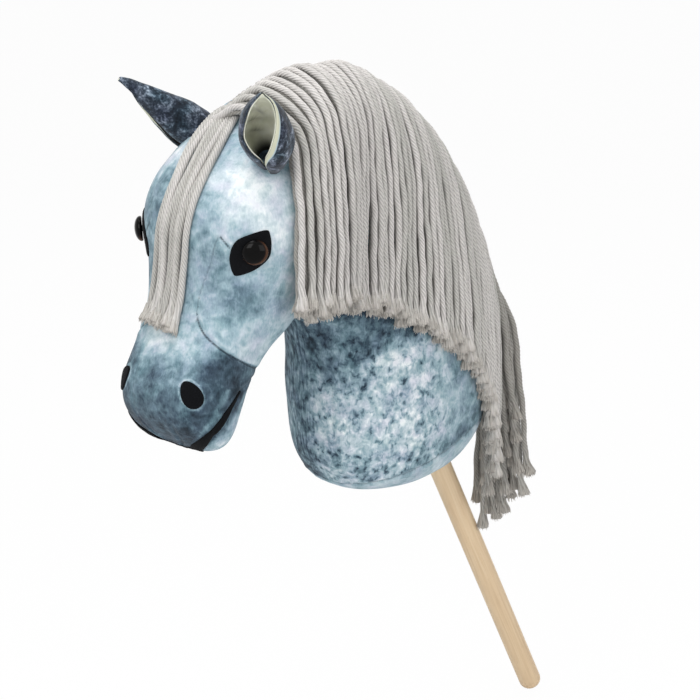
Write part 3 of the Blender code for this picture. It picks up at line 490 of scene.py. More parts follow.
def skin_normal(skin, at, angle):
    """The outward normal of the neck or the head."""
    step = 0.02
    last = len(NECK_ROWS if skin is neck_skin else HEAD_ROWS) - 1
    down = skin_point(skin, min(at + step, last), angle) - skin_point(skin, max(at - step, 0.0), angle)
    turn = skin_point(skin, at, angle + step) - skin_point(skin, at, angle - step)
    return down.cross(turn).normalized()


def width_angle(at, half_width):
    """The angle at which the head's ring has that half width on its face side."""
    share = np.minimum(np.abs(half_width) / smooth_rows(HEAD_ROWS, at)[3], 0.9)
    return np.sign(half_width) * np.arcsin(share ** (HEAD_SQUARENESS / 2))


def throat_edge(at):
    """The angle of the seam beside the throat gusset."""
    share = np.minimum(THROAT_HALF_WIDTH / smooth_rows(NECK_ROWS, at)[4], 0.9)
    return np.arcsin(share ** (NECK_SQUARENESS / 2))


# Small tools for meshes.


def new_object(name, points, faces, finishes=(), smooth=True):
    """A mesh object from points and faces, with its materials."""
    mesh = bpy.data.meshes.new(name)
    mesh.from_pydata([tuple(point) for point in points], [], faces)
    mesh.update()
    if smooth:
        mesh.shade_smooth()
    obj = bpy.data.objects.new(name, mesh)
    bpy.context.scene.collection.objects.link(obj)
    for finish in finishes:
        mesh.materials.append(finish)
    return obj


def mesh_points(mesh):
    """A mesh's points as an array."""
    values = np.empty(len(mesh.vertices) * 3)
    mesh.vertices.foreach_get("co", values)
    return values.reshape(-1, 3)


def set_points(mesh, points):
    """Move a mesh's points."""
    mesh.vertices.foreach_set("co", points.ravel())
    mesh.update()


def point_values(mesh, name, values):
    """Store one number, or one vector, for each point of a mesh, for its material to read."""
    kind, field = ("FLOAT_VECTOR", "vector") if values.ndim == 2 else ("FLOAT", "value")
    mesh.attributes.new(name, kind, "POINT").data.foreach_set(field, values.astype(np.float32).ravel())


def ring_faces(rings, sides):
    """The quads between rings of points that follow each other in a list."""
    faces = []
    for low in range(0, (rings - 1) * sides, sides):
        for k in range(sides):
            j = (k + 1) % sides
            faces.append((low + k, low + j, low + sides + j, low + sides + k))
    return faces


def closed_faces(rings, sides):
    """The same, with a face across the first ring and one across the last."""
    total = rings * sides
    return ring_faces(rings, sides) + [tuple(range(sides))[::-1], tuple(range(total - sides, total))]


def applied(obj):
    """Put an object's modifiers into its mesh."""
    bpy.context.view_layer.update()
    graph = bpy.context.evaluated_depsgraph_get()
    mesh = bpy.data.meshes.new_from_object(obj.evaluated_get(graph))
    obj.modifiers.clear()
    obj.data = mesh


def turned(name, profile, sides, place, finishes=()):
    """A closed solid turned round local Z from pairs of radius and height, placed by a matrix."""
    points = []
    for radius, height in profile:
        for k in range(sides):
            turn = 2 * math.pi * k / sides
            points.append(place @ Vector((radius * math.cos(turn), radius * math.sin(turn), height)))
    return new_object(name, points, closed_faces(len(profile), sides), finishes)


class Chart:
    """A skin as a fine grid, which tells the row and the angle of any point near it."""

    def __init__(self, skin, last, rows=150, sides=168):
        self.sides = sides
        self.row_step = last / (rows - 1)
        self.turn_step = 2 * math.pi / sides
        at, turn = np.meshgrid(
            np.linspace(0, last, rows), np.arange(sides) * self.turn_step, indexing="ij"
        )
        self.points = skin(at, turn).reshape(-1, 3)
        self.faces = ring_faces(rows, sides)
        self.tree = BVHTree.FromPolygons(self.points.tolist(), self.faces)

    def solid(self, name):
        """The whole skin as a closed object."""
        return new_object(name, self.points, closed_faces(len(self.points) // self.sides, self.sides))

    def place(self, point):
        """The nearest point of the skin, its row, its angle from -pi to pi and how far off it is."""
        near, normal, face, _ = self.tree.find_nearest(point)
        row, side = divmod(face, self.sides)
        a, b, _, d = (Vector(self.points[k]) for k in self.faces[face])
        across, down = b - a, d - a
        u = min(max((near - a).dot(across) / max(across.length_squared, 1e-12), 0.0), 1.0)
        v = min(max((near - a).dot(down) / max(down.length_squared, 1e-12), 0.0), 1.0)
        angle = (side + u) * self.turn_step
        if angle > math.pi:
            angle -= 2 * math.pi
        return near, (row + v) * self.row_step, angle, (point - near).dot(normal)


# The plush skin of the head and the neck.

NECK = Chart(neck_skin, len(NECK_ROWS) - 1)
HEAD = Chart(head_skin, len(HEAD_ROWS) - 1)


def stick_matrix():
    """Local Z up the stick, from its foot."""
    return Matrix.Rotation(STICK_LEAN, 4, "X")


def head_seams():
    """The head's seams: rows, angles, the share of the full depth and how dark the line is."""
    rows = np.linspace(0.6, 14.8, 700)
    gusset = width_angle(rows, along(FACE_GUSSET, rows))
    depth, dark = columns_along(GUSSET_SEAM, rows)
    cheek_rows, cheek_angles = smooth_rows(CHEEK_EDGE, np.linspace(0, len(CHEEK_EDGE) - 1, 700))
    cheek_dark = along(((7.6, 0.3), (8.5, 1.0)), cheek_rows)
    dart_rows = np.linspace(EYE_DART[0][0], EYE_DART[1][0], 30)
    return (
        (rows, gusset, depth, dark),
        (rows, along(JAW_SEAM, rows), np.full(len(rows), 0.6), np.full(len(rows), 0.35)),
        (cheek_rows, cheek_angles, np.linspace(1.1, 0.4, 700), cheek_dark),
        (dart_rows, along(EYE_DART, dart_rows), np.linspace(1.0, 0.3, 30), np.full(30, 1.0)),
    )


def neck_seams():
    """The neck's seams in the same form."""
    rows = np.linspace(0.0, BASE_SEAM_ROW, 600)
    turns = np.linspace(0.0, math.pi, 500)
    return (
        (rows, throat_edge(rows), np.full(len(rows), 0.25), np.full(len(rows), 0.1)),
        (np.full(len(turns), BASE_SEAM_ROW), turns, np.full(len(turns), 0.9), np.full(len(turns), 0.5)),
    )


class SeamFinder:
    """Tells how far a point is from the nearest seam, its depth, its darkness and the place on it."""

    def __init__(self, skin, seams):
        points, self.depths, self.darks, self.runs = [], [], [], []
        for rows, angles, depths, darks in seams:
            for side in (1, -1):
                line = skin(rows, angles * side)
                points += line.tolist()
                self.depths += depths.tolist()
                self.darks += darks.tolist()
                self.runs += run_along(line).tolist()
        self.tree = KDTree(len(points))
        for k, point in enumerate(points):
            self.tree.insert(point, k)
        self.tree.balance()

    def find(self, point):
        """The distance to the seam, its depth, its darkness and how far along it that is."""
        _, index, distance = self.tree.find(point)
        return distance, self.depths[index], self.darks[index], self.runs[index]


# Where the printed dapples of the cloth are paler or darker than the rest: the row, the
# angle, the size in metres and the change of tone. A positive angle stands for both
# sides of the horse, a negative one for its right side alone.
HEAD_DAPPLES = (
    (4.9, 0.80, 0.036, 0.34),
    (4.3, 0.45, 0.022, 0.24),
    (5.6, 1.20, 0.024, 0.16),
    (5.5, 0.50, 0.014, -0.05),
    (5.9, 0.72, 0.010, -0.18),
    (7.4, 0.66, 0.022, -0.12),
    (7.6, 1.30, 0.020, -0.07),
    (8.6, 1.20, 0.018, 0.08),
    (6.6, 0.10, 0.030, -0.12),
    (9.4, 0.10, 0.016, 0.20),
    (10.6, 0.15, 0.014, 0.16),
    (11.6, 0.30, 0.020, 0.10),
    (10.0, 1.30, 0.022, -0.14),
    (9.9, 0.85, 0.010, -0.06),
    (12.4, 0.55, 0.016, -0.06),
    (11.7, 2.00, 0.014, 0.20),
    (12.9, 1.75, 0.010, 0.20),
    (4.9, -0.55, 0.034, -0.34),
    (6.2, -0.40, 0.030, -0.10),
)
NECK_DAPPLES = (
    (5.0, 0.45, 0.022, 0.12),
    (5.6, 1.10, 0.034, 0.10),
    (4.3, 1.00, 0.012, 0.20),
    (4.45, 0.62, 0.014, -0.14),
    (6.0, 1.55, 0.020, 0.06),
    (6.3, 0.50, 0.020, -0.12),
    (5.75, 1.25, 0.010, -0.22),
    (5.2, 1.62, 0.012, -0.10),
)


def dappled(skin, dapples, points):
    """The change of tone that the dapples make at points of the right or the left side."""
    total = np.zeros(len(points))
    for at, angle, size, change in dapples:
        places = mirrored(points) if angle > 0 else points
        total += change * bell(np.linalg.norm(places - skin(at, angle), axis=1), size)
    return total


def mirrored(points):
    """The points with those of the right side moved to the left."""
    return np.abs(points) * np.array((1.0, 0.0, 0.0)) + points * np.array((0.0, 1.0, 1.0))


def softened(points, edges, share, passes):
    """Points moved towards the middle of their neighbours, by a share for each point."""
    for _ in range(passes):
        total = np.zeros_like(points)
        count = np.zeros(len(points))
        for a, b in ((0, 1), (1, 0)):
            np.add.at(total, edges[:, a], points[edges[:, b]])
            np.add.at(count, edges[:, a], 1.0)
        points = points + (total / count[:, None] - points) * share[:, None]
    return points


def stick_room():
    """The way in for the stick and its sleeve, as a solid to cut with."""
    profile = (
        (STICK_HOLE_RADIUS, STICK_SHOWING - 0.06),
        (STICK_HOLE_RADIUS, STICK_SHOWING + SLEEVE_SETBACK - 0.001),
        (SLEEVE_RADIUS, STICK_SHOWING + SLEEVE_SETBACK - 0.001),
        (SLEEVE_RADIUS, STICK_SHOWING + STICK_INSIDE + 0.006),
    )
    return turned("stick_room", profile, 48, stick_matrix())


def joined_skins():
    """The head and the neck as one closed mesh, with the way in for the stick."""
    body = NECK.solid("plush_skin")
    head = HEAD.solid("head_solid")
    room = stick_room()
    for other, operation in ((head, "UNION"), (room, "DIFFERENCE")):
        step = body.modifiers.new("join", "BOOLEAN")
        step.operation = operation
        step.solver = "EXACT"
        step.object = other
    step = body.modifiers.new("even", "REMESH")
    step.mode = "VOXEL"
    step.voxel_size = SKIN_VOXEL
    applied(body)
    for other in (head, room):
        bpy.data.objects.remove(other)
    return body


def head_print(points, at, angle):
    """How pale the head's print is at points, how speckled, and how much they lie on the muzzle.

    The numbers are tones, and the rows and angles between which one tone turns into another.
    """
    share = np.abs(angle)
    low, high = width_angle(at, along(FACE_GUSSET, at)), along(JAW_SEAM, at)
    across = np.clip((share - low) / np.maximum(high - low, 0.01), 0.0, 1.0)
    muzzle = smoothstep(-0.03, 0.03, at - along(MUZZLE_SEAM, across))
    cheek = 0.59 + 0.06 * smoothstep(1.0, 1.5, share) - 0.16 * smoothstep(1.7, 2.3, share)
    down = at + 1.1 * smoothstep(0.5, 1.3, share)
    snout = 0.60 - 0.37 * smoothstep(9.3, 10.9, down) - 0.07 * smoothstep(11.2, 13.6, down)
    gap = share - along(MOUTH_PATH, at)
    lips = 0.22 * bell(gap + 0.22, 0.08) + 0.32 * smoothstep(0.12, 0.3, gap)
    snout = snout + lips * (at > MOUTH_PATH[0][0])
    # Painted shade on the plush under the mane, behind the poll.
    hidden = (1.0 - smoothstep(2.7, 3.9, at)) * smoothstep(0.85, 1.15, share)
    tone = (cheek + (snout - cheek) * muzzle) * (1.0 - 0.75 * hidden)
    tone += 0.38 * nostril_rim(points) + dappled(head_skin, HEAD_DAPPLES, points)
    return tone, 0.06 + 0.10 * muzzle, muzzle


def neck_print(points, at, angle):
    """The same for the neck, and how streaked it is down the throat."""
    share = np.abs(angle)
    throat = (1.0 - smoothstep(-0.12, 0.10, angle)) * smoothstep(-1.3, -0.8, angle)
    down = at - 0.35 * smoothstep(0.6, 1.5, share) - 0.30 * bell(share - 0.35, 0.30)
    # Painted shade on the neck under the mane: the print turns dark there.
    mane_shade = 1.0 - smoothstep(3.65, 4.15, down)
    base = smoothstep(BASE_SEAM_ROW - 0.1, BASE_SEAM_ROW + 0.1, at)
    rear = smoothstep(1.25, 1.7, share)
    tone = 0.69 - 0.32 * throat - 0.16 * rear - 0.12 * smoothstep(5.6, 6.8, at)
    tone += (0.30 - tone) * mane_shade
    tone += (0.68 - tone) * base
    speckled = (1.0 - 0.8 * rear) * (1.0 - 0.6 * throat) * (1.0 - base) * (1.0 - 0.4 * mane_shade)
    return tone + dappled(neck_skin, NECK_DAPPLES, points), speckled, throat * (1.0 - base)


def head_axes(at, angle):
    """A place on the head's left side, and the ways out of it, back from it and up."""
    centre, normal = skin_point(head_skin, at, angle), skin_normal(head_skin, at, angle)
    back = Vector((0, 0, 1)).cross(normal).normalized()
    return centre, normal, back, normal.cross(back)


def nostril_rim(points):
    """1 on the pale pile that stands up round a felt nostril, and 0 away from it."""
    centre, _, back, up = (np.array(way) for way in head_axes(NOSTRIL_AT, NOSTRIL_ANGLE))
    arm = mirrored(points) - centre
    b, u = arm @ back, arm @ up
    long = u * math.cos(NOSTRIL_TILT) - b * math.sin(NOSTRIL_TILT)
    wide = b * math.cos(NOSTRIL_TILT) + u * math.sin(NOSTRIL_TILT)
    reach = np.hypot(long / (NOSTRIL_LENGTH / 2), wide / (NOSTRIL_WIDTH / 2))
    ring = bell((reach - 1.0) * NOSTRIL_WIDTH / 2 - 0.0007, 0.0010)
    return ring * (np.linalg.norm(arm, axis=1) < 0.03)


def skin_relief(points):
    """What the seams and the stuffing do at each point of the joined skin.

    Gives each point's place (1 for the head and 0 for the neck, the row and the angle), how
    far off and how dark its seam is, how near the fold between head and neck it is, and how
    far it is pushed out. Points away from the fold and the hole are put on the chart itself.
    """
    head_seam, neck_seam = SeamFinder(head_skin, head_seams()), SeamFinder(neck_skin, neck_seams())
    axis, leave = stick_direction(), stick_exit()
    count = len(points)
    push, sewn, crease = np.zeros(count), np.zeros(count), np.zeros(count)
    seam, places = np.ones(count), np.zeros((count, 3))
    for k in range(count):
        point = Vector(points[k])
        head_near, head_at, head_angle, head_off = HEAD.place(point)
        neck_near, neck_at, neck_angle, neck_off = NECK.place(point)
        on_head = abs(head_off) < abs(neck_off)
        places[k] = (on_head, head_at, head_angle) if on_head else (on_head, neck_at, neck_angle)
        along_axis = (point - leave).dot(axis)
        from_axis = (point - leave - axis * along_axis).length
        if min(abs(head_off), abs(neck_off)) > HOLE_DEPTH and from_axis < SLEEVE_RADIUS + HOLE_MARGIN:
            continue
        other_off = abs(neck_off if on_head else head_off)
        crease[k] = 1.0 - smoothstep(0.0, CREASE_REACH, other_off) if other_off < CREASE_REACH else 0.0
        near = head_near if on_head else neck_near
        if crease[k] == 0.0 and from_axis > STICK_HOLE_RADIUS + HOLE_MARGIN:
            points[k] = near
        seam[k], depth, sewn[k], run = (head_seam if on_head else neck_seam).find(near)
        push[k] = LUMP_DEPTH * noise.noise(point / LUMP_SIZE)
        small = noise.noise(point / (LUMP_DETAIL * LUMP_SIZE) + Vector((7, 3, 1)))
        push[k] += LUMP_DETAIL * LUMP_DEPTH * small
        if seam[k] < 2 * PUCKER_WIDTH and depth:
            ridge = bell(seam[k] - 2.0 * SEAM_WIDTH, 1.2 * SEAM_WIDTH)
            pucker = noise.noise(Vector((run / PUCKER_STEP, seam[k] / 0.02, 3.0 * depth)))
            push[k] += depth * SEAM_DEPTH * (SEAM_RIDGE * ridge - bell(seam[k], SEAM_WIDTH))
            push[k] += depth * PUCKER_DEPTH * pucker * bell(seam[k], PUCKER_WIDTH)
        if along_axis < 0.03 and from_axis < STICK_HOLE_RADIUS + GATHER_REACH:
            gather = bell(from_axis - STICK_HOLE_RADIUS, GATHER_WIDTH)
            side = math.atan2((point - leave).x, (point - leave).dot(axis.cross(Vector((1, 0, 0)))))
            push[k] += GATHER_DEPTH * gather * math.sin(GATHERS * side + 2.0 * math.sin(3 * side))
    return places, seam, sewn, crease, push


def skin_print(points, places, seam, sewn):
    """The values that the plush's material reads at each point."""
    on_head = places[:, 0] > 0.5
    tone, speckled, muzzle = head_print(points, places[:, 1], places[:, 2])
    neck_values = neck_print(points, places[:, 1], places[:, 2])
    tone = np.where(on_head, tone, neck_values[0])
    speckled = np.where(on_head, speckled, neck_values[1])
    streak = np.where(on_head, 0.0, neck_values[2])
    # Painted highlight: the print is paler on the ridges beside the head's dark seams, and a little paler
    # along its other seams.
    ridge = bell(seam - 2.0 * SEAM_WIDTH, 1.2 * SEAM_WIDTH)
    raised = 0.12 * ridge * sewn * (1.0 - muzzle) + 0.05 * bell(seam, 0.004) * (1.0 - sewn)
    tone += np.where(on_head, raised, 0.0)
    # Painted shade round each ear's root.
    for side in (1, -1):
        root = np.array(ear_axes(side)[0])
        tone -= EAR_SHADE * bell(np.linalg.norm(points - root, axis=1), EAR_SHADE_SIZE)
    return {"seam": seam, "sewn": sewn, "tone": tone, "speckled": speckled, "streak": streak}


def plush_skin(finishes):
    """The stuffed plush skin, its seams drawn in, its cloth a little lumpy over the stuffing."""
    body = joined_skins()
    mesh = body.data
    points = mesh_points(mesh)
    edges = np.empty(len(mesh.edges) * 2, int)
    mesh.edges.foreach_get("vertices", edges)
    edges = edges.reshape(-1, 2)
    points = softened(points, edges, np.full(len(points), 0.5), 2)
    places, seam, sewn, crease, push = skin_relief(points)
    printed = skin_print(points, places, seam, sewn)
    lip = np.array(skin_point(head_skin, *LIP_AT))
    push += LIP_DEPTH * bell(np.linalg.norm(mirrored(points) - lip, axis=1), LIP_SIZE) * places[:, 0]
    points = softened(points, edges, FOLD_SOFTNESS * crease, FOLD_PASSES)
    set_points(mesh, points)
    normals = np.empty(len(points) * 3)
    mesh.vertex_normals.foreach_get("vector", normals)
    set_points(mesh, points + normals.reshape(-1, 3) * push[:, None])
    mesh.shade_smooth()
    for name, values in printed.items():
        point_values(mesh, name, values)
    for finish in finishes:
        mesh.materials.append(finish)
    return body


class Surface:
    """The plush skin, to lay pieces on by casting rays at it."""

    def __init__(self, obj):
        self.tree = BVHTree.FromPolygons(
            mesh_points(obj.data).tolist(), [tuple(face.vertices) for face in obj.data.polygons]
        )

    def hit(self, start, direction):
        """Where a ray meets the plush, and the way out of it there."""
        place, normal, _, _ = self.tree.ray_cast(start, direction)
        return place, normal


def laid_strip(name, surface, spots, shares, lift, finish):
    """A closed strip laid on the plush.

    Each spot is the middle of a row of rays, the way out and the strip's half width there.
    shares go across the strip, and lift gives the height of its top or its underside at one.
    """
    points = []
    for middle, way, side in spots:
        for on_top, order in ((True, shares), (False, shares[::-1])):
            for share in order:
                place, facing = surface.hit(middle + side * share, -way)
                points.append(place + facing * lift(share, on_top))
    return new_object(name, points, closed_faces(len(spots), 2 * len(shares)), [finish])


# Felt pieces and eyes.


def felt_patch(name, surface, at, angle, outline, side, finish):
    """A felt shape stuck on the plush, its cut edge a little rounded and its top slightly fuzzy."""
    centre, normal, back, up = head_axes(at, angle)
    inward = Vector((-normal.x * side, -normal.y, -normal.z))
    rims = smooth_outline(outline, FELT_EDGE_POINTS)
    rings, points = (0.0, 0.25, 0.5, 0.7, 0.85, 0.94, 0.985, 1.0), []
    for on_top, shares in ((True, rings), (False, rings[::-1])):
        for share in shares:
            drop = FELT_THICKNESS * (0.35 * smoothstep(0.93, 1.0, share) if on_top else 1.15)
            for b, u in rims:
                start = centre + (back * b + up * u) * max(share, 0.02) + normal * FELT_RAY_FROM
                start.x *= side
                place, facing = surface.hit(start, inward)
                fuzz = FELT_FUZZ * noise.noise(place / FELT_FUZZ_SIZE)
                points.append(place + facing * (FELT_THICKNESS - drop + fuzz))
    faces = closed_faces(2 * len(rings), len(rims))
    if side < 0:
        faces = [face[::-1] for face in faces]
    return new_object(name, points, faces, [finish])


def nostril_outline():
    """The egg of a nostril, tilted and a little wider at its bottom."""
    outline = []
    cosine, sine = math.cos(NOSTRIL_TILT), math.sin(NOSTRIL_TILT)
    for k in range(16):
        turn = -2 * math.pi * k / 16
        b = NOSTRIL_WIDTH / 2 * math.cos(turn) * (1 - 0.22 * math.sin(turn))
        u = NOSTRIL_LENGTH / 2 * math.sin(turn)
        outline.append((b * cosine - u * sine, b * sine + u * cosine))
    return outline


def mouth_line(surface, finish):
    """The felt line of the mouth, from the left corner under the muzzle to the right one."""
    corners = [skin_point(head_skin, row, angle) for row, angle in MOUTH_PATH]
    spots = []
    for place in evenly(rounded_path(corners), 1.0, 0.0015):
        near, row, angle, _ = HEAD.place(Vector(place))
        spots.append((near, skin_normal(head_skin, row, angle)))
    spots += [(Vector((-p.x, p.y, p.z)), Vector((-n.x, n.y, n.z))) for p, n in reversed(spots)]
    rows = []
    for k, (point, normal) in enumerate(spots):
        ahead = spots[min(k + 1, len(spots) - 1)][0] - spots[max(k - 1, 0)][0]
        share = min(k, len(spots) - 1 - k) / (len(spots) / 2)
        side = normal.cross(ahead).normalized() * float(along(MOUTH_WIDTHS, share)) / 2
        rows.append((point + normal * RAY_FROM, normal, side))

    def lift(share, on_top):
        """The felt's rounded top, and its underside just inside the plush."""
        return FELT_THICKNESS * (1.0 - 0.35 * abs(share) ** 6) if on_top else -0.0003

    shares = (-1.0, -0.94, -0.8, -0.4, 0.0, 0.4, 0.8, 0.94, 1.0)
    return laid_strip("mouth_felt", surface, rows, shares, lift, finish)


def eye_matrix(side):
    """Local Z out of an eye, from the plush's surface."""
    centre, normal, _, _ = head_axes(EYE_AT, EYE_ANGLE)
    normal.x *= side
    centre.x *= side
    return Matrix.Translation(centre) @ Vector((0, 0, 1)).rotation_difference(normal).to_matrix().to_4x4()


def eye_dome(name, side, finish):
    """The eye's dome and rim, with the shank that goes through the felt and the plush."""
    profile = [(0.0004, EYE_SEAT - SHANK_LENGTH), (SHANK_RADIUS, EYE_SEAT - SHANK_LENGTH)]
    profile += [(SHANK_RADIUS, EYE_SEAT), (EYE_RADIUS - 0.0006, EYE_SEAT)]
    profile += [(EYE_RADIUS, EYE_SEAT + 0.0005), (EYE_RADIUS, EYE_SEAT + EYE_RIM)]
    for k in range(1, 17):
        turn = math.pi / 2 * k / 16.3
        profile.append(
            (EYE_RADIUS * math.cos(turn), EYE_SEAT + EYE_RIM + (EYE_HEIGHT - EYE_RIM) * math.sin(turn))
        )
    obj = turned(name, profile, 64, eye_matrix(side), [finish])
    # Only a crescent of the brown iris, at the rear and below, is coloured: the iris is real, but showing
    # just this lit crescent is painted light.
    to_local = np.array(eye_matrix(side).inverted())
    local = mesh_points(obj.data) @ to_local[:3, :3].T + to_local[:3, 3]
    shows = (to_local[:3, :3] @ np.array(IRIS_LIT_SIDE))[:2]
    shifted = local[:, :2] + IRIS_SHIFT * EYE_RADIUS * shows / np.linalg.norm(shows)
    point_values(obj.data, "reach", np.linalg.norm(shifted, axis=1) / EYE_RADIUS)
    return obj


# The ears.


def ear_axes(side):
    """An ear's root, and the ways along it, out of its opening and across it to its rear edge."""
    root = skin_point(head_skin, EAR_AT[side], EAR_ANGLE)
    axis = Vector(EAR_POSES[side][0]).normalized()
    opens = Vector(EAR_OPENS)
    opens = (opens - axis * opens.dot(axis)).normalized()
    across = axis.cross(opens)
    ways = [root, axis, opens, across]
    for way in ways:
        way.x *= side
    return ways


def ear_cup(side, share, turn):
    """The cup's radius at a share of its length, and the angle there: turn goes from -1 to 1."""
    radius, front, rear = columns_along(EAR_CUPS[side], share)
    angle = -front + (front + rear) * (turn + 1) / 2
    return radius + EAR_LAP * smoothstep(*EAR_LAP_FROM, angle) * min(1.0, radius / 0.02), angle


def ear_crease(side, share, angle, radius):
    """How deep in a crease the cup is there, from 0 to 1."""
    pinch = 0.0
    length = EAR_POSES[side][1]
    for ends in EAR_CREASES if side > 0 else ():
        start, end = (np.array((math.radians(a) * radius, s * length)) for a, s in ends)
        spot = np.array((math.radians(angle) * radius, share * length))
        part = np.clip((spot - start).dot(end - start) / (end - start).dot(end - start), 0.0, 1.0)
        away = float(np.linalg.norm(spot - start - (end - start) * part))
        pinch = max(pinch, bell(away, CREASE_WIDTH) * (0.4 + 0.6 * math.sin(math.pi * part)))
    return pinch


def ear_point(ways, side, share, turn, inset):
    """A point of the ear's cup, some way in from its outside."""
    root, axis, opens, across = ways
    _, length, curl, lean, _ = EAR_POSES[side]
    tip = max(share, 0.0) ** 3
    centre = root + axis * length * share - opens * curl * tip + across * lean * tip
    radius, angle = ear_cup(side, share, turn)
    fold = EAR_FOLD * math.sin(math.radians(angle) * 2.3 + 2.0) * float(smoothstep(-0.1, 0.3, share))
    fold += EAR_RIPPLE * noise.noise(Vector((angle / 28, 5.0 * share, 0.7 * side)))
    rear = float(smoothstep(100, 125, angle)) * float(1.0 - smoothstep(0.5, 0.8, share))
    fold += EAR_REAR_FOLD * rear * (abs(math.sin(math.radians(angle - 100) * 3.1 + 2.0 * share)) - 0.5)
    fold -= CREASE_DEPTH * ear_crease(side, share, angle, radius)
    reach = max(radius - inset + fold, 0.0005)
    round_cup = math.radians(float(angle))
    return centre + (across * math.sin(round_cup) - opens * math.cos(round_cup)) * reach


def ear_foot(ways, side, turn, inset):
    """The share of the ear's length at which that line of it goes into the head."""
    for k in range(60):
        share = -0.2 + 0.8 * k / 60
        _, _, _, off = HEAD.place(ear_point(ways, side, share, turn, inset))
        if off > -0.0015:
            return share
    return 0.6


def ear_looks(side, share, turn):
    """How far a place is from the rear edge, in widths of the strip turned over it, and how much shade is
    painted there.
    """
    radius, angle = ear_cup(side, share, turn)
    _, last = ear_cup(side, share, 1.0)
    width = EAR_POSES[side][4] * float(0.1 + 0.9 * smoothstep(0.28, 0.55, share))
    from_edge = math.radians(float(last - angle)) * float(radius) / width
    # Painted shade: deep in the cup above the hole, near the root, and along the creases.
    hole = smoothstep(45, 80, float(angle)) * (1.0 - smoothstep(0.34, 0.54, share))
    crease_shade = CREASE_SHADE * ear_crease(side, share, angle, radius) ** 2
    return from_edge, float(max(1.0 - smoothstep(0.02, 0.20, share), hole, crease_shade))


def leaf_faces(rows, columns):
    """The faces of a grid of points, of the same grid under it and of the edge between them."""
    under = rows * columns
    grid = np.arange(under).reshape(rows, columns)
    top = np.stack([grid[:-1, :-1], grid[:-1, 1:], grid[1:, 1:], grid[1:, :-1]], axis=-1).reshape(-1, 4)
    faces = np.stack([top, top[:, ::-1] + under], axis=1).reshape(-1, 4).tolist()
    edge = np.concatenate([grid[0], grid[1:, -1], grid[-1, -2::-1], grid[-2:0:-1, 0]]).tolist()
    for a, b in zip(edge, edge[1:] + edge[:1]):
        faces.append([b, a, a + under, b + under])
    return faces


def ear_leaf(name, side, inset, thickness, finish, rows=52, columns=90):
    """One cloth of the ear: a cupped leaf with a rolled edge that tapers from root to tip."""
    ways = ear_axes(side)
    grids, turned_over, painted_lining_shade = [], [], []
    turns = np.linspace(-1.0, 1.0, columns)
    feet = [ear_foot(ways, side, turn, inset) for turn in turns]
    for deep in (0.0, thickness):
        grid = []
        for i in range(rows):
            row = []
            down = (i / (rows - 1)) ** 0.9
            for turn, foot in zip(turns, feet):
                share = foot + (1.0 - foot) * down
                edge = max(abs(turn) ** 24, down ** 14)
                depth = deep + (thickness / 2 - deep) * 0.9 * edge
                row.append(tuple(ear_point(ways, side, share, turn, inset + depth)))
                from_edge, painted_shade = ear_looks(side, share, turn)
                turned_over.append(from_edge + (FAR_FROM_EDGE if deep else 0.0))
                painted_lining_shade.append(painted_shade)
            grid.append(row)
        grids.append(np.array(grid))
    points = np.concatenate([smoothed(grid, 1).reshape(-1, 3) for grid in grids])
    faces = leaf_faces(rows, columns)
    if side > 0:
        faces = [face[::-1] for face in faces]
    leaf = new_object(name, points, faces, [finish])
    point_values(leaf.data, "turned_over", np.array(turned_over))
    point_values(leaf.data, "painted_lining_shade", np.array(painted_lining_shade))
    return leaf


# The mane, its tape and the forelock.


class Heap:
    """Gathers many strands into the points and faces of one mesh."""

    def __init__(self):
        self.points, self.faces, self.kinds = [], [], []
        self.values = {"ply": [], "shade": [], "tip": [], "groove": []}
        self.count = 0

    def strand(self, rings, kind, **values):
        """A closed tube through rings of points, with one material and values for each point."""
        number, sides = rings.shape[:2]
        self.points.append(rings.reshape(-1, 3))
        faces = closed_faces(number, sides)
        self.faces += [[corner + self.count for corner in face] for face in faces]
        self.kinds += [kind] * len(faces)
        for name, value in values.items():
            self.values[name].append(value)
        self.count += number * sides

    def object(self, name, finishes):
        """The mesh of all the strands."""
        obj = new_object(name, np.concatenate(self.points), self.faces, finishes)
        obj.data.polygons.foreach_set("material_index", self.kinds)
        for attribute, values in self.values.items():
            point_values(obj.data, attribute, np.concatenate(values))
        return obj


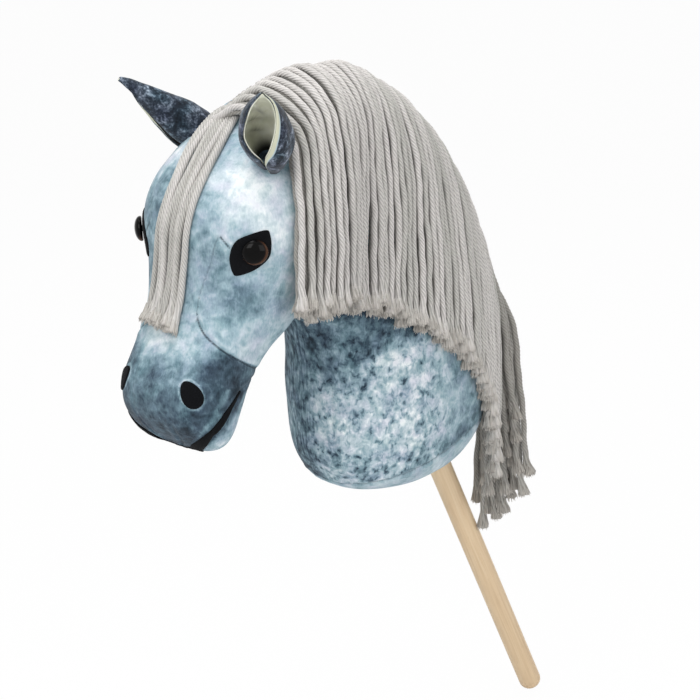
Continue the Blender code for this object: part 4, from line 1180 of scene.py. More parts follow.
def twisted_cord(heap, line, rng, shade):
    """One cut cord: plied strands with an S twist, which open into a bell of fibres at the cut."""
    ahead, side, other = carried_frames(line)
    run = run_along(line)
    left = run[-1] - run
    fray = CORD_FRAY * rng.uniform(0.85, 1.2)
    columns = STRAND_SIDES * CORD_STRANDS
    turn = np.arange(columns) * 2 * math.pi / columns
    valley = 0.5 + 0.5 * np.cos(np.arange(columns) * 2 * math.pi / STRAND_SIDES)
    opened = np.clip(1.0 - left / fray, 0.0, 1.0)
    firm = 0.35 + 0.65 * np.clip(run / CORD_FIRM_FROM, 0.0, 1.0)
    start = rng.uniform(0, 2 * math.pi)
    pitch = CORD_PITCH * rng.uniform(0.9, 1.12)
    slack = smoothstep(0.0, 1.0, np.clip(1.0 - (left - fray) / 0.015, 0.0, 1.0))
    wound = np.concatenate(([0.0], np.cumsum(np.diff(run) * (1.0 - 0.8 * slack[1:]))))
    twist = start - wound / pitch * 2 * math.pi
    swell = 1.0 + 0.05 * np.sin(run / 0.021 + start) + BELL_FLARE * opened ** 1.2
    angle = twist[:, None] + turn
    licks = 1.0 + BELL_LICKS * opened[:, None] * np.array([rng.uniform(-1, 1) for _ in range(columns)])
    grooves = STRAND_GROOVE * valley ** 1.5 * firm[:, None] * (1.0 - 0.5 * opened[:, None])
    reach = CORD_RADIUS * swell[:, None] * (1.0 - grooves) * licks
    outwards = side[:, None] * np.cos(angle)[..., None] + other[:, None] * np.sin(angle)[..., None]
    rings = line[:, None] + outwards * reach[..., None]
    ragged = CUT_RAGGED * np.array([rng.uniform(-1, 1) for _ in range(columns)])
    rings += ahead[:, None] * (opened[:, None] ** 3 * ragged)[..., None]
    # The cut end is hollow, with brown shade painted in it.
    hollow = line[-1] + (rings[-1] - line[-1]) * 0.5 - ahead[-1] * 0.0030
    rings = np.concatenate([rings, hollow[None]])
    number = len(rings)
    around = [np.tile(wave(turn), number) * 1000 * CORD_RADIUS for wave in (np.cos, np.sin)]
    ply = np.stack([*around, np.repeat(np.append(run, run[-1]) * 1000, columns) + start * 100], axis=1)
    # Shade is painted into the grooves between the strands: less near the root and in the open bell, full in
    # the hollow end.
    painted_groove_shade = np.tile(valley ** 2, (number, 1)) * np.append(firm * (1.0 - 0.6 * opened), 1.0)[:, None]
    painted_groove_shade[-1] = 1.0
    tip = np.repeat(np.append(opened, 1.0), columns)
    heap.strand(rings, 0, ply=ply, shade=np.full(len(tip), shade), tip=tip, groove=painted_groove_shade.ravel())
    for k in range(FRAY_FIBRES):
        frayed_fibre(heap, line, run, (ahead, side, other), rng, shade, fray, k)


def frayed_fibre(heap, line, run, ways, rng, shade, fray, number):
    """One lick of fibres in a cord's bell. Real fibres are finer than the render shows."""
    ahead, side, other = ways
    outer = number % 6 != 0
    out = rng.uniform(0.90, 1.04) if outer else rng.uniform(0.3, 0.8)
    turn = 2 * math.pi * number / FRAY_FIBRES + rng.uniform(-0.1, 0.1)
    begin = run[-1] - fray * rng.uniform(0.45, 1.05)
    length = run[-1] - begin + rng.uniform(-0.0015, 0.0014)
    here = min(int(np.searchsorted(run, begin)), len(line) - 2)
    way = side[here] * math.cos(turn) + other[here] * math.sin(turn)
    round_way = other[here] * math.cos(turn) - side[here] * math.sin(turn)
    lean = rng.uniform(-0.5, 0.5)
    flare = BELL_FLARE * rng.uniform(0.9, 1.15)
    knots = np.linspace(0.0, 1.0, 6)
    first = 1.0 - (run[-1] - begin) / fray
    opened = np.maximum(first + (1.0 - first) * knots, 0.0) ** 1.2
    path = line[here] + way * CORD_RADIUS * out * (0.98 + flare * opened)[:, None]
    path = path + round_way * CORD_RADIUS * lean * knots[:, None] + ahead[here] * length * knots[:, None]
    _, across, up = carried_frames(path)
    width = FRAY_WIDTH * rng.uniform(0.8, 1.35) * np.array((0.8, 1.1, 1.1, 1.0, 0.9, 0.6))
    corner = (np.arange(3) * 2 * math.pi / 3)[:, None]
    sides = across[:, None] * np.cos(corner) + up[:, None] * np.sin(corner)
    count = 3 * len(knots)
    ply = np.tile(np.array((turn, out, shade * 50)), (count, 1))
    # Fibres inside the bell are darker: painted shade.
    mix = shade + rng.uniform(-0.3, 0.3) - (0.0 if outer else 0.5)
    rings = path[:, None] + sides * width[:, None, None]
    shades, tip, groove = np.full(count, mix), np.repeat(knots, 3), np.zeros(count)
    heap.strand(rings, 1, ply=ply, shade=shades, tip=tip, groove=groove)


def drape(surface, root, front, lift, length, rng, wave):
    """A line down the left side for a cord sewn to the tape at root, a distance along the crest.

    front goes from 0 for the cords that hang straight to 1 for the foremost one.
    """
    start = stick_exit()

    def lies(x):
        """How far along the crest the cord lies at that distance out from the middle."""
        bend = float(along(FRONT_BEND, max(x, 0.0))) * front ** 3
        return start.y + root + MANE_FRONT_SWEEP * front * max(x, 0.0) + bend

    path = []
    over = MANE_FRONT_OVER * front ** 2
    for x in np.linspace(-0.004 - over, MANE_TAPE_WIDTH / 2, 9):
        place, _ = surface.hit(Vector((x, lies(x), DRAPE_ABOVE)), Vector((0, 0, -1)))
        path.append(place)
    reach, top = MANE_TAPE_WIDTH / 2, path[-1].z
    height = top
    while height > top - length - 0.03:
        height -= DRAPE_STEP
        start_at = Vector((DRAPE_BESIDE, lies(reach + 0.003), height))
        place, _ = surface.hit(start_at, Vector((-1.0, 0.0, 0.0)))
        if place is not None:
            reach = max(reach, place.x)
        path.append(Vector((reach, lies(reach), height)))
    line = smoothed(np.array([tuple(point) for point in path]), 4)
    ahead = unit_rows(np.gradient(line, axis=0))
    out = unit_rows(np.stack([-ahead[:, 2], np.zeros(len(line)), ahead[:, 0]], axis=1))
    run = run_along(line)
    settle = smoothstep(0.0, 0.03, run)
    base = MANE_TAPE_THICKNESS + 0.0012 + CORD_RADIUS
    arch = CREST_LIFT * bell(run - CREST_LIFT_AT, CREST_LIFT_REACH) * settle
    raised = arch * (0.2 + 0.8 * smoothstep(*CREST_LIFT_ROOTS, root))
    line = line + out * (base + (lift - base) * settle + raised)[:, None]
    return waved(evenly(line, length + over, CORD_STEP), rng, wave)


def waved(line, rng, wave):
    """A line with the slow waves of a limp cord, across the surface and a little off it."""
    run = np.arange(len(line)) * CORD_STEP
    grow = smoothstep(0.01, 0.10, run)
    moved = line.copy()
    for share, length in WAVES:
        size = share * wave
        phase, depth = rng.uniform(0, 7), rng.uniform(0, 7)
        length *= rng.uniform(0.8, 1.25)
        moved[:, 1] += grow * size * np.sin(2 * math.pi * run / length + phase)
        moved[:, 0] += grow * 0.3 * size * (1 + np.sin(2 * math.pi * run / length + depth))
    return moved


def frontness(root):
    """0 for the cords that hang straight, and up to 1 for the foremost one."""
    return max((MANE_STRAIGHT_FROM - root) / (MANE_STRAIGHT_FROM - MANE_FRONT), 0.0)


def mane_cords(surface, finishes):
    """The mane's near side: two layers of cords, in pieces that lie side by side like the CAD locks."""
    lock_width = (MANE_BACK - MANE_FRONT) / MANE_LOCKS
    heaps = [Heap() for _ in range(MANE_LOCKS)]
    rng = random.Random(41)
    for lift, shift, longer, painted_layer_shade in MANE_LAYERS:
        for k in range(MANE_CORDS):
            root = MANE_FRONT + (MANE_BACK - MANE_FRONT) * (k + 0.3 + shift) / (MANE_CORDS + 0.3)
            root += rng.uniform(-ROOT_STRAY, ROOT_STRAY)
            lock = min(max(int((root - MANE_FRONT) / lock_width), 0), MANE_LOCKS - 1)
            front = frontness(root)
            cut = CUT_STRAY * noise.noise(Vector((root / 0.03, 4.0, 2.0)))
            cut += rng.uniform(-CUT_STRAY, CUT_STRAY)
            length = CORD_LENGTH + MANE_OVER_TAPE - MANE_FRONT_TRIM * front ** 4 + longer + cut
            high = lift + rng.uniform(-LIFT_STRAY, LIFT_STRAY)
            line = drape(surface, root, front, high, length, rng, MANE_WAVE)
            twisted_cord(heaps[lock], line, rng, painted_layer_shade + rng.uniform(-TINT_STRAY, TINT_STRAY))
    for k in range(MANE_FRONT_MORE):
        root = MANE_FRONT + 0.003 + MANE_MORE_STEP * k
        front = frontness(root)
        length = CORD_LENGTH + MANE_OVER_TAPE - MANE_FRONT_TRIM * front ** 4 - 0.006
        line = drape(surface, root, front, 0.0046, length, rng, MANE_WAVE)
        # These cords lie under the rest: their darker tint is painted shade.
        twisted_cord(heaps[int((root - MANE_FRONT) / lock_width)], line, rng, rng.uniform(-0.9, -0.5))
    return [heap.object(f"mane_cords_{k + 1:02d}", finishes) for k, heap in enumerate(heaps)]


def tail_cords(finishes):
    """The mane's rear end: cords from the lowest part of the tape, which hang behind the neck.

    They were sewn on lower and lower, so their bells lie in rows one above the other.
    """
    start = stick_exit()
    rng = random.Random(12)
    heaps = [Heap() for _ in TAIL_BACK]
    for layer, x, low in TAIL_ENDS:
        back = TAIL_BACK[layer] + rng.uniform(-0.002, 0.002)
        deep = layer / 2
        # From the tape over the crest, down behind the neck and out to the cut end. Cords that
        # end further to the left lie further to the left all the way down.
        corners = (
            (0.002 + 0.05 * x, 0.010 + 0.012 * deep, 0.268 - 0.045 * deep),
            (0.010 + 0.26 * x, 0.024 + 0.010 * deep, 0.250 - 0.040 * deep),
            (0.013 + 0.45 * x, back - 0.006, 0.212 - 0.030 * deep),
            (0.012 + 0.62 * x, back, 0.165 - 0.02 * deep),
            (0.009 + 0.76 * x, back + 0.001, 0.110 - 0.02 * deep),
            (0.004 + 0.90 * x, back + 0.4 * TAIL_FLARE, min(low + 0.034, 0.085)),
            (x, back + TAIL_FLARE, low),
        )
        path = rounded_path([start + Vector(corner) for corner in corners])
        line = waved(evenly(path, math.inf, CORD_STEP), rng, TAIL_WAVE)
        twisted_cord(heaps[layer], line, rng, rng.uniform(-1.0, -0.45))
    return [heap.object(f"tail_cords_{k + 1}", finishes) for k, heap in enumerate(heaps)]


def forelock_cords(surface, finishes):
    """The forelock: flat-lying cords from between the ears down the face."""
    rng = random.Random(8)
    heap = Heap()
    for k in range(FORELOCK_CORDS):
        place = k / (FORELOCK_CORDS - 1)
        bottom = FORELOCK_BOTTOM + rng.uniform(-0.18, 0.12)
        phase = rng.uniform(0, 6)
        path = []
        for n in range(60):
            share = n / 59
            at = FORELOCK_TOP + (bottom - FORELOCK_TOP) * share
            low, high = columns_along(FORELOCK_EDGES, share)
            sway = 0.0026 * math.sin(6.5 * share + phase) * float(smoothstep(0.05, 0.3, share))
            angle = float(width_angle(at, low + (high - low) * place + sway))
            point, normal = skin_point(head_skin, at, angle), skin_normal(head_skin, at, angle)
            hit, _ = surface.hit(point + normal * RAY_FROM, -normal)
            lift = -0.003 + (CORD_RADIUS + 0.0036) * float(smoothstep(0.0, 0.06, share))
            path.append((hit if hit is not None else point) + normal * lift)
        path = smoothed(np.array([tuple(point) for point in path]), 12)
        line = evenly(path, math.inf, CORD_STEP)
        twisted_cord(heap, line, rng, rng.uniform(-0.35, 0.15))
    return heap.object("forelock_cords", finishes)


def mane_tape(surface, finish):
    """The woven tape that carries the cords along the crest."""
    middle = stick_exit() + Vector((0.0, -0.12, 0.28))
    side = Vector((MANE_TAPE_WIDTH / 2, 0.0, 0.0))
    rows = []
    for turn in np.radians(np.linspace(*MANE_TAPE_TURNS, 120)):
        way = Vector((0.0, math.sin(turn), math.cos(turn)))
        rows.append((middle + way, way, side))

    def lift(share, on_top):
        """The tape's top and underside, which come nearer to each other at its edges."""
        edge = 0.25 if abs(share) == 1 else 0.0
        return 0.0004 + MANE_TAPE_THICKNESS * (1 - edge if on_top else edge)

    shares = (-1.0, -0.96, -0.5, 0.0, 0.5, 0.96, 1.0)
    return laid_strip("crest_tape", surface, rows, shares, lift, finish)


def dowel(finish):
    """The stick: a turned dowel with a rounded foot and a broken top edge."""
    radius, top = STICK_DIAMETER / 2, STICK_SHOWING + STICK_INSIDE
    profile = [(radius - STICK_FOOT_ROUND, 0.0)]
    for k in range(1, 11):
        turn = math.pi / 2 * k / 10
        profile.append(
            (radius - STICK_FOOT_ROUND * (1 - math.sin(turn)), STICK_FOOT_ROUND * (1 - math.cos(turn)))
        )
    profile += [(radius, STICK_FOOT_ROUND + (top - 0.002 - STICK_FOOT_ROUND) * k / 24) for k in range(1, 25)]
    profile += [(radius - 0.002, top)]
    return turned("dowel", profile, 72, stick_matrix(), [finish])


# Materials.

# Settings of a node that mixes two colours, plainly or by multiplying them.
BLEND = {"data_type": "RGBA", "out": 2}
MULTIPLY = {"data_type": "RGBA", "blend_type": "MULTIPLY", "out": 2}


def linear(code):
    """A colour written as sRGB hex, in the linear values that the shaders take."""
    values = [int(code[k:k + 2], 16) / 255 for k in (0, 2, 4)]
    return (*[v / 12.92 if v <= 0.04045 else ((v + 0.055) / 1.055) ** 2.4 for v in values], 1.0)


def add(tree, kind, inputs=None, stops=(), out=0, **settings):
    """Add a node, set its inputs or link them to other nodes, and give one of its outputs back."""
    made = tree.nodes.new("ShaderNode" + kind)
    for name, value in settings.items():
        setattr(made, name, value)
    for name, value in (inputs or {}).items():
        if isinstance(value, bpy.types.NodeSocket):
            tree.links.new(value, made.inputs[name])
        else:
            made.inputs[name].default_value = value
    if stops:
        ramp = made.color_ramp
        while len(ramp.elements) < len(stops):
            ramp.elements.new(0.5)
        for element, (place, colour) in zip(ramp.elements, stops):
            element.position = place
            element.color = linear(colour)
    return made.outputs[out]


def new_material(name, **sockets):
    """A material with its shader's plain values set, and its nodes."""
    made = bpy.data.materials.new(name)
    made.use_nodes = True
    shader = made.node_tree.nodes["Principled BSDF"]
    for socket, value in sockets.items():
        shader.inputs[socket.replace("_", " ")].default_value = value
    return made, made.node_tree


def finished(made, colour, height=None, strength=0.5, distance=0.0009):
    """A material with its colour and, where it has a height, the bump of its surface."""
    tree = made.node_tree
    shader = tree.nodes["Principled BSDF"]
    tree.links.new(colour, shader.inputs["Base Color"])
    if height is not None:
        bump = add(tree, "Bump", {"Height": height, "Strength": strength, "Distance": distance})
        tree.links.new(bump, shader.inputs["Normal"])
    return made


def velour_plush():
    """Minky velour: polyester pile about 2 mm long, printed in soft blue-grey dapples.

    The pile is combed in short strokes, so the print breaks up in streaks 1 to 3 mm
    wide. tone, from 0 to 1, is how pale the print is; speckled adds small dark specks.
    """
    made, tree = new_material(
        "velour_plush", Roughness=0.95, Sheen_Weight=0.12, Sheen_Roughness=0.5, Specular_IOR_Level=0.1
    )
    place = add(tree, "TexCoord", out="Object")
    tone, seam, sewn, speckled, streak = (
        add(tree, "Attribute", attribute_name=name, out="Fac")
        for name in ("tone", "seam", "sewn", "speckled", "streak")
    )
    # Clouds of print about 28 mm and 9 mm across.
    clouds = add(tree, "TexNoise", {"Vector": place, "Scale": 38.0, "Detail": 3.0, "Distortion": 0.5})
    blots = add(tree, "TexNoise", {"Vector": place, "Scale": 120.0, "Detail": 3.0, "Distortion": 0.5})
    # Strokes of the pile, about 1.5 mm wide and 4 mm long, and long streaks down the throat.
    combed = add(tree, "Mapping", {"Vector": place, "Scale": (640.0, 640.0, 240.0)})
    strokes = add(tree, "TexNoise", {"Vector": combed, "Scale": 1.0, "Detail": 3.0})
    runs = add(tree, "Mapping", {"Vector": place, "Scale": (330.0, 330.0, 70.0)})
    drips = add(tree, "TexNoise", {"Vector": runs, "Scale": 1.0, "Detail": 2.0})
    # Dark specks 2 to 5 mm across, and pale ones between them.
    spots = add(tree, "Mapping", {"Vector": place, "Scale": (165.0, 165.0, 135.0)})
    specks = add(tree, "TexNoise", {"Vector": spots, "Scale": 1.0, "Detail": 2.0, "Distortion": 0.4})
    dark = add(tree, "MapRange", {"Value": specks, "From Min": 0.54, "From Max": 0.76})
    pale = add(tree, "MapRange", {"Value": specks, "From Min": 0.46, "From Max": 0.32})
    # Each part of the print: its own middle, how much of it shows, and where.
    value = tone
    for source, middle, amount, local in (
        (clouds, 0.5, 0.62, None), (blots, 0.5, 0.48, None), (strokes, 0.5, 0.26, None),
        (drips, 0.5, 1.1, streak), (blots, 0.5, 0.55, speckled), (clouds, 0.5, 0.3, speckled),
        (dark, 0.0, -0.46, speckled), (pale, 0.0, 0.16, speckled),
    ):
        part = add(tree, "Math", {0: source, 1: middle}, operation="SUBTRACT")
        part = add(tree, "Math", {0: part, 1: amount}, operation="MULTIPLY")
        if local is not None:
            part = add(tree, "Math", {0: part, 1: local}, operation="MULTIPLY")
        value = add(tree, "Math", {0: value, 1: part}, operation="ADD")
    printed = add(tree, "ValToRGB", {"Fac": value}, (
        (0.0, "232E39"), (0.2, "445664"), (0.4, "6B8490"), (0.6, "98AFBA"), (0.8, "C1CED5"), (1.0, "E6EBED"),
    ))
    # A second dye drifts between teal and lavender.
    drift = add(tree, "TexNoise", {"Vector": place, "Scale": 60.0, "Detail": 2.0})
    hue = add(tree, "ValToRGB", {"Fac": drift}, ((0.30, "C4DBDA"), (0.5, "FFFFFF"), (0.70, "D6D2E4")))
    tinted = add(tree, "Mix", {0: 0.5, 6: printed, 7: hue}, **MULTIPLY)
    # The stitched line is a dark slit about 1 mm wide.
    edges = {"From Min": 0.0004, "From Max": 0.0015, "To Min": 0.78, "To Max": 0.0}
    slit = add(tree, "MapRange", {"Value": seam, **edges})
    line = add(tree, "Math", {0: slit, 1: sewn}, operation="MULTIPLY")
    stitched = add(tree, "Mix", {0: line, 6: tinted, 7: linear("1E2730")}, **BLEND)
    pile = add(tree, "TexNoise", {"Vector": place, "Scale": 900.0, "Detail": 3.0})
    return finished(made, stitched, add(tree, "Math", {0: pile, 1: strokes}, operation="ADD"))


def ear_velour():
    """The same minky velour in its darkest print, with the cream lining turned over one edge."""
    made, tree = new_material(
        "ear_velour", Roughness=0.95, Sheen_Weight=0.15, Sheen_Roughness=0.5, Specular_IOR_Level=0.1
    )
    place = add(tree, "TexCoord", out="Object")
    over = add(tree, "Attribute", attribute_name="turned_over", out="Fac")
    # Patches of print about 12 mm across, the pile's strokes at 2 mm, and a slow drift of the dye.
    patches = add(tree, "TexNoise", {"Vector": place, "Scale": 85.0, "Detail": 4.0, "Distortion": 0.8})
    strokes = add(tree, "TexNoise", {"Vector": place, "Scale": 480.0, "Detail": 3.0})
    drift = add(tree, "TexNoise", {"Vector": place, "Scale": 45.0, "Detail": 1.0})
    mixed = add(tree, "Mix", {0: 0.35, 2: patches, 3: strokes}, data_type="FLOAT")
    printed = add(tree, "ValToRGB", {"Fac": mixed}, (
        (0.35, "191E26"), (0.48, "2C343F"), (0.56, "525C69"), (0.63, "8791A0"), (0.71, "B9C2CC"),
    ))
    hue = add(tree, "ValToRGB", {"Fac": drift}, ((0.34, "A9D2D6"), (0.5, "FFFFFF"), (0.66, "D8D2E6")))
    dyed = add(tree, "Mix", {0: 0.6, 6: printed, 7: hue}, **MULTIPLY)
    # Along the rear edge lie the pale blue of the cut and, nearer the edge, the cream lining.
    for near, far, colour in ((1.0, 1.12, "A9BCC4"), (0.78, 0.88, "C2C3AE")):
        ramp = {"From Min": near, "From Max": far, "To Min": 1.0, "To Max": 0.0}
        share = add(tree, "MapRange", {"Value": over, **ramp})
        dyed = add(tree, "Mix", {0: share, 6: dyed, 7: linear(colour)}, **BLEND)
    return finished(made, dyed, strokes)


def lining_velour():
    """Cream velour, short and plain, with dark greenish shade painted on it deep in the cup, near its root
    and along its creases.
    """
    made, tree = new_material(
        "lining_velour", Roughness=0.9, Sheen_Weight=0.15, Sheen_Roughness=0.5, Specular_IOR_Level=0.1
    )
    place = add(tree, "TexCoord", out="Object")
    deep = add(tree, "Attribute", attribute_name="painted_lining_shade", out="Fac")
    soft = add(tree, "TexNoise", {"Vector": place, "Scale": 90.0, "Detail": 3.0})
    pile = add(tree, "TexNoise", {"Vector": place, "Scale": 900.0, "Detail": 3.0})
    cream = add(tree, "ValToRGB", {"Fac": soft}, ((0.35, "E2E3D1"), (0.5, "EDEEDD"), (0.66, "F5F6EA")))
    # The painted shade darkens the cream towards a dark green.
    shaded_cream = add(tree, "Mix", {0: deep, 6: cream, 7: linear("15160F")}, **BLEND)
    return finished(made, shaded_cream, pile, distance=0.0006)


def black_felt():
    """Needled wool felt: matt black, with short matted fibres that scatter a little light."""
    made, tree = new_material(
        "black_felt", Roughness=1.0, Sheen_Weight=0.03, Sheen_Roughness=0.6, Specular_IOR_Level=0.05
    )
    place = add(tree, "TexCoord", out="Object")
    fibres = add(tree, "TexNoise", {"Vector": place, "Scale": 1400.0, "Detail": 4.0, "Distortion": 1.2})
    shade = add(tree, "ValToRGB", {"Fac": fibres}, ((0.35, "08090B"), (0.6, "101114"), (0.75, "1E1F24")))
    return finished(made, shade, fibres, 0.6, 0.0004)


def eye_plastic():
    """Moulded acrylic safety eye: a black pupil in a dark brown iris, under a glossy dome; the iris is
    painted only as a crescent on the side where light falls on it.
    """
    made, tree = new_material("eye_plastic", Roughness=0.06, IOR=1.49, Specular_IOR_Level=0.10)
    reach = add(tree, "Attribute", attribute_name="reach", out="Fac")
    iris = add(tree, "ValToRGB", {"Fac": reach}, (
        (0.0, "050505"), (0.88, "060505"), (0.98, "35231A"), (1.0, "4A3122"),
    ))
    return finished(made, iris)


def plied_cord():
    """Spun acrylic cord, six strands plied in an S twist: matt, greige, fibres along each strand."""
    made, tree = new_material(
        "plied_cord", Roughness=0.9, Sheen_Weight=0.2, Sheen_Roughness=0.5, Specular_IOR_Level=0.2
    )
    ply = add(tree, "Attribute", attribute_name="ply", out="Vector")
    shade, tip, groove = (
        add(tree, "Attribute", attribute_name=name, out="Fac") for name in ("shade", "tip", "groove")
    )
    # Fibres 0.3 mm wide run along each strand. ply is in millimetres.
    laid = add(tree, "Mapping", {"Vector": ply, "Scale": (2.2, 2.2, 0.16)})
    fibres = add(tree, "TexNoise", {"Vector": laid, "Scale": 1.0, "Detail": 4.0})
    drift = add(tree, "Mapping", {"Vector": ply, "Scale": (0.02, 0.02, 0.016)})
    slow = add(tree, "TexNoise", {"Vector": drift, "Scale": 1.0, "Detail": 2.0})
    dyed = add(tree, "MapRange", {"Value": shade, "From Min": -0.7, "From Max": 0.7})
    wool = add(tree, "ValToRGB", {"Fac": dyed}, (
        (0.0, "A7A49E"), (0.35, "C8C6C1"), (0.65, "D9D5D2"), (1.0, "E0DDD9"),
    ))
    lights = {"From Min": 0.3, "From Max": 0.7, "To Min": 0.72, "To Max": 1.08}
    grain = add(tree, "MapRange", {"Value": fibres, **lights})
    lined = add(tree, "Mix", {0: 1.0, 6: wool, 7: grain}, **MULTIPLY)
    # Painted shade in the grooves between the strands and in the hollow cut end.
    depth = add(tree, "MapRange", {"Value": groove, "From Min": 0.1, "To Min": 1.0, "To Max": 0.58})
    with_groove_shade = add(tree, "Mix", {0: 1.0, 6: lined, 7: depth}, **MULTIPLY)
    # Towards the cut end, in slow patches, the cord turns brown: painted shade in the open bell and its
    # hollow end.
    late = add(tree, "Math", {0: tip, 1: 3.0}, operation="POWER")
    cut_end_shade = add(tree, "Math", {0: late, 1: slow}, operation="MULTIPLY")
    ended = add(tree, "Mix", {0: cut_end_shade, 6: with_groove_shade, 7: linear("988F86")}, **BLEND)
    return finished(made, ended, fibres, distance=0.0005)


def frayed_ends():
    """The same acrylic fibre opened out at the cut: straighter and duller, with shade painted on the fibres
    inside the bell.
    """
    made, tree = new_material("frayed_ends", Roughness=0.85, Specular_IOR_Level=0.25)
    shade, tip = (add(tree, "Attribute", attribute_name=name, out="Fac") for name in ("shade", "tip"))
    dyed = add(tree, "MapRange", {"Value": shade, "From Min": -0.8, "From Max": 0.6})
    wool = add(tree, "ValToRGB", {"Fac": dyed}, (
        (0.0, "8F8A83"), (0.4, "B3AFA9"), (0.75, "CFCCC7"), (1.0, "DEDCD8"),
    ))
    return finished(made, add(tree, "Mix", {0: tip, 6: wool, 7: linear("CCC7C0")}, **BLEND))


def cotton_tape():
    """Twill cotton tape, 18 mm wide: matt, with diagonal ribs about 0.8 mm apart."""
    made, tree = new_material("cotton_tape", Roughness=0.92, Specular_IOR_Level=0.2)
    place = add(tree, "TexCoord", out="Object")
    twill = {"Vector": place, "Scale": 400.0, "Distortion": 0.6}
    ribs = add(tree, "TexWave", twill, bands_direction="DIAGONAL", out="Fac")
    cloth = add(tree, "ValToRGB", {"Fac": ribs}, ((0.0, "8F8B84"), (1.0, "B5B1A9")))
    return finished(made, cloth, ribs, 0.4, 0.0003)


def beech_dowel():
    """Sanded beech, unvarnished: pale and warm, with fine grain lines and short dark flecks."""
    made, tree = new_material("beech_dowel", Roughness=0.48, Specular_IOR_Level=0.4)
    place = add(tree, "TexCoord", out="Object")
    lying = add(tree, "Mapping", {"Vector": place, "Rotation": (-STICK_LEAN, 0.0, 0.0)})
    # Growth rings 2 to 4 mm apart, drawn out along the dowel, and flecks 2 mm long.
    drawn = add(tree, "Mapping", {"Vector": lying, "Scale": (330.0, 330.0, 9.0)})
    rings = add(tree, "TexNoise", {"Vector": drawn, "Scale": 1.0, "Detail": 4.0, "Distortion": 0.5})
    short = add(tree, "Mapping", {"Vector": lying, "Scale": (1500.0, 1500.0, 260.0)})
    flecks = add(tree, "TexNoise", {"Vector": short, "Scale": 1.0, "Detail": 2.0})
    slow = add(tree, "TexNoise", {"Vector": place, "Scale": 14.0, "Detail": 2.0})
    beech = add(tree, "ValToRGB", {"Fac": rings}, ((0.30, "C0A280"), (0.5, "D4B995"), (0.72, "E2CDAE")))
    darker = {"From Min": 0.60, "From Max": 0.72, "To Min": 1.0, "To Max": 0.80}
    dark = add(tree, "MapRange", {"Value": flecks, **darker})
    flecked = add(tree, "Mix", {0: 1.0, 6: beech, 7: dark}, **MULTIPLY)
    handled = add(tree, "Mix", {0: slow, 6: flecked, 7: linear("DBC29F")}, **BLEND)
    return finished(made, handled, rings, 0.12, 0.0004)


def moulded_fitting():
    """Moulded nylon, matt and off-white, for the sleeve and the washers that stay inside."""
    made, tree = new_material("moulded_fitting", Roughness=0.5)
    place = add(tree, "TexCoord", out="Object")
    grain = add(tree, "TexNoise", {"Vector": place, "Scale": 1200.0, "Detail": 2.0})
    return finished(made, add(tree, "ValToRGB", {"Fac": grain}, ((0.0, "C9C6BE"), (1.0, "E2E0DA"))))


# The studio.


def plainly_seen(tree):
    """1 for the camera's own rays, straight, mirrored or through glass, and 0 for the room's light."""
    seen = add(tree, "LightPath", out="Is Camera Ray")
    for kind in ("Is Glossy Ray", "Is Transmission Ray"):
        ray = add(tree, "LightPath", out=kind)
        seen = add(tree, "Math", {0: seen, 1: ray}, operation="MAXIMUM")
    return seen


def studio():
    """A pale floor, a white room and four large soft lamps."""
    scene = bpy.context.scene
    scene.view_settings.view_transform = "Standard"
    low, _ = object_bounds()
    corners = [(x * FLOOR_REACH, y * FLOOR_REACH, low.z) for x, y in ((-1, -1), (1, -1), (1, 1), (-1, 1))]
    floor = new_object("floor", corners, [(0, 1, 2, 3)], smooth=False)
    paper, tree = new_material("backdrop_paper", Roughness=1.0, Specular_IOR_Level=0.0)
    shader = tree.nodes["Principled BSDF"]
    shader.inputs["Base Color"].default_value = linear("F4F4F4")
    seen = add(tree, "Math", {0: plainly_seen(tree), 1: FLOOR_WHITE}, operation="MULTIPLY")
    glow = add(tree, "Emission", {"Color": (1.0, 1.0, 1.0, 1.0), "Strength": 1.0})
    mixed = add(tree, "MixShader", {0: seen, 1: shader.outputs[0], 2: glow})
    tree.links.new(mixed, tree.nodes["Material Output"].inputs["Surface"])
    floor.data.materials.append(paper)
    world = bpy.data.worlds.new("white_room")
    world.use_nodes = True
    room = world.node_tree
    level = add(room, "MapRange", {"Value": plainly_seen(room), "To Min": ROOM_LIGHT, "To Max": 1.0})
    white = room.nodes["Background"]
    white.inputs["Color"].default_value = (1.0, 1.0, 1.0, 1.0)
    room.links.new(level, white.inputs["Strength"])
    scene.world = world
    for name, place, size, power in LAMPS:
        light = bpy.data.lights.new(name, "AREA")
        light.size = size
        light.energy = power
        lamp = bpy.data.objects.new(name, light)
        lamp.location = place
        lamp.rotation_euler = (LAMPS_FACE - Vector(place)).to_track_quat("-Z", "Y").to_euler()
        scene.collection.objects.link(lamp)


def photograph_camera():
    """The camera that the photograph was taken with."""
    data = bpy.data.cameras.new("camera")
    data.lens = CAMERA_LENS
    camera = bpy.data.objects.new("camera", data)
    flat = math.cos(CAMERA_ELEVATION)
    back = Vector(
        (math.sin(CAMERA_AZIMUTH) * flat, -math.cos(CAMERA_AZIMUTH) * flat, math.sin(CAMERA_ELEVATION))
    )
    camera.location = CAMERA_TARGET + back * CAMERA_DISTANCE
    camera.rotation_euler = back.to_track_quat("Z", "Y").to_euler()
    bpy.context.scene.collection.objects.link(camera)
    bpy.context.scene.camera = camera


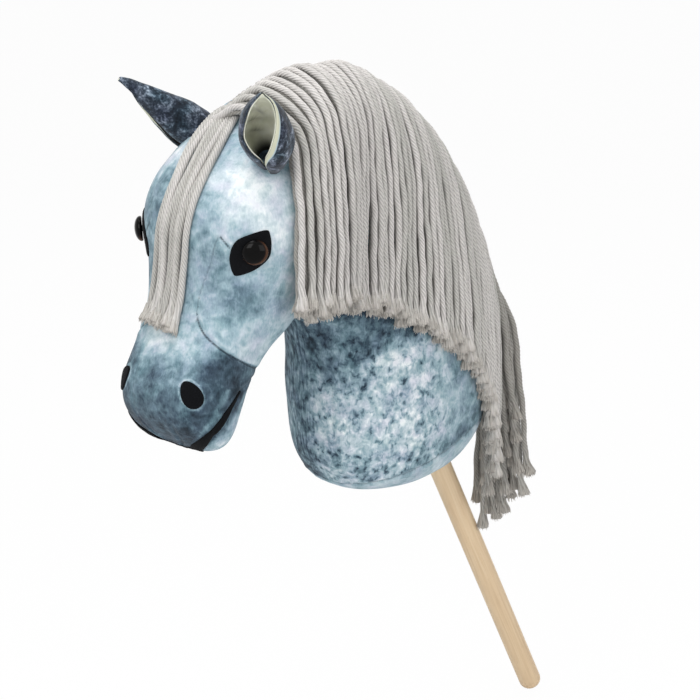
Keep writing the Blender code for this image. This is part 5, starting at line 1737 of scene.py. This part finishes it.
def dress_head():
    """Everything that rides on the head."""
    plush = plush_skin([velour_plush()])
    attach(plush, "head")
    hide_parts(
        "head_stuffing", "neck_stuffing", "face_gusset", "jaw_gusset", "throat_gusset", "base_panel",
        "cheek_panel_left", "cheek_panel_right", "muzzle_panel_left", "muzzle_panel_right",
        "neck_panel_left", "neck_panel_right",
    )
    surface = Surface(plush)
    felt, plastic = black_felt(), eye_plastic()
    for word, side in (("left", 1), ("right", -1)):
        patch = felt_patch(f"eye_leaf_{word}", surface, EYE_AT, EYE_ANGLE, EYE_FELT_OUTLINE, side, felt)
        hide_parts(f"eye_felt_{word}")
        egg = felt_patch(
            f"nostril_egg_{word}", surface, NOSTRIL_AT, NOSTRIL_ANGLE, nostril_outline(), side, felt
        )
        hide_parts(f"nostril_{word}")
        dome = eye_dome(f"eye_dome_{word}", side, plastic)
        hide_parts(f"eye_{word}")
        for piece in (patch, egg, dome):
            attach(piece, "head")
    mouth = mouth_line(surface, felt)
    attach(mouth, "head")
    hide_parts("mouth")
    tape = mane_tape(surface, cotton_tape())
    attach(tape, "head")
    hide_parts("mane_tape")
    cords = [plied_cord(), frayed_ends()]
    for k, piece in enumerate(mane_cords(surface, cords)):
        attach(piece, "head")
        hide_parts(f"mane_lock_{k + 1:02d}")
    for k, piece in enumerate(tail_cords(cords)):
        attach(piece, "head")
        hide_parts(f"mane_tail_{k + 1}")
    lock = forelock_cords(surface, cords)
    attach(lock, "head")
    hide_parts("forelock")


def dress_ears():
    """The shells and the linings of the ears."""
    outer, inner = ear_velour(), lining_velour()
    for word, side in (("left", 1), ("right", -1)):
        shell = ear_leaf(f"ear_shell_{word}", side, 0.0, EAR_THICKNESS, outer)
        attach(shell, f"ear_{word}")
        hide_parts(f"ear_{word}")
        lining = ear_leaf(
            f"ear_cloth_{word}", side, EAR_THICKNESS - EAR_LINING_SUNK, EAR_LINING_THICKNESS, inner
        )
        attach(lining, f"ear_{word}")
        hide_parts(f"ear_lining_{word}")


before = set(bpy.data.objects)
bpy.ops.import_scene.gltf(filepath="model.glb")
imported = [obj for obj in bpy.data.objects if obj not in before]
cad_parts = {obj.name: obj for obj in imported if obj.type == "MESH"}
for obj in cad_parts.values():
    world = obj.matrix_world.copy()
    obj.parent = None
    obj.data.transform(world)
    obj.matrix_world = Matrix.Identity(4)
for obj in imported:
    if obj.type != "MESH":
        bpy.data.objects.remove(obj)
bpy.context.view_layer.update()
photograph_camera()
studio()
dress_head()
dress_ears()
stick = dowel(beech_dowel())
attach(stick, "stick")
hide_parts("stick")
nylon = moulded_fitting()
for hidden in ("stick_sleeve", "eye_washer_left", "eye_washer_right"):
    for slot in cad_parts[hidden].material_slots:
        slot.material = nylon
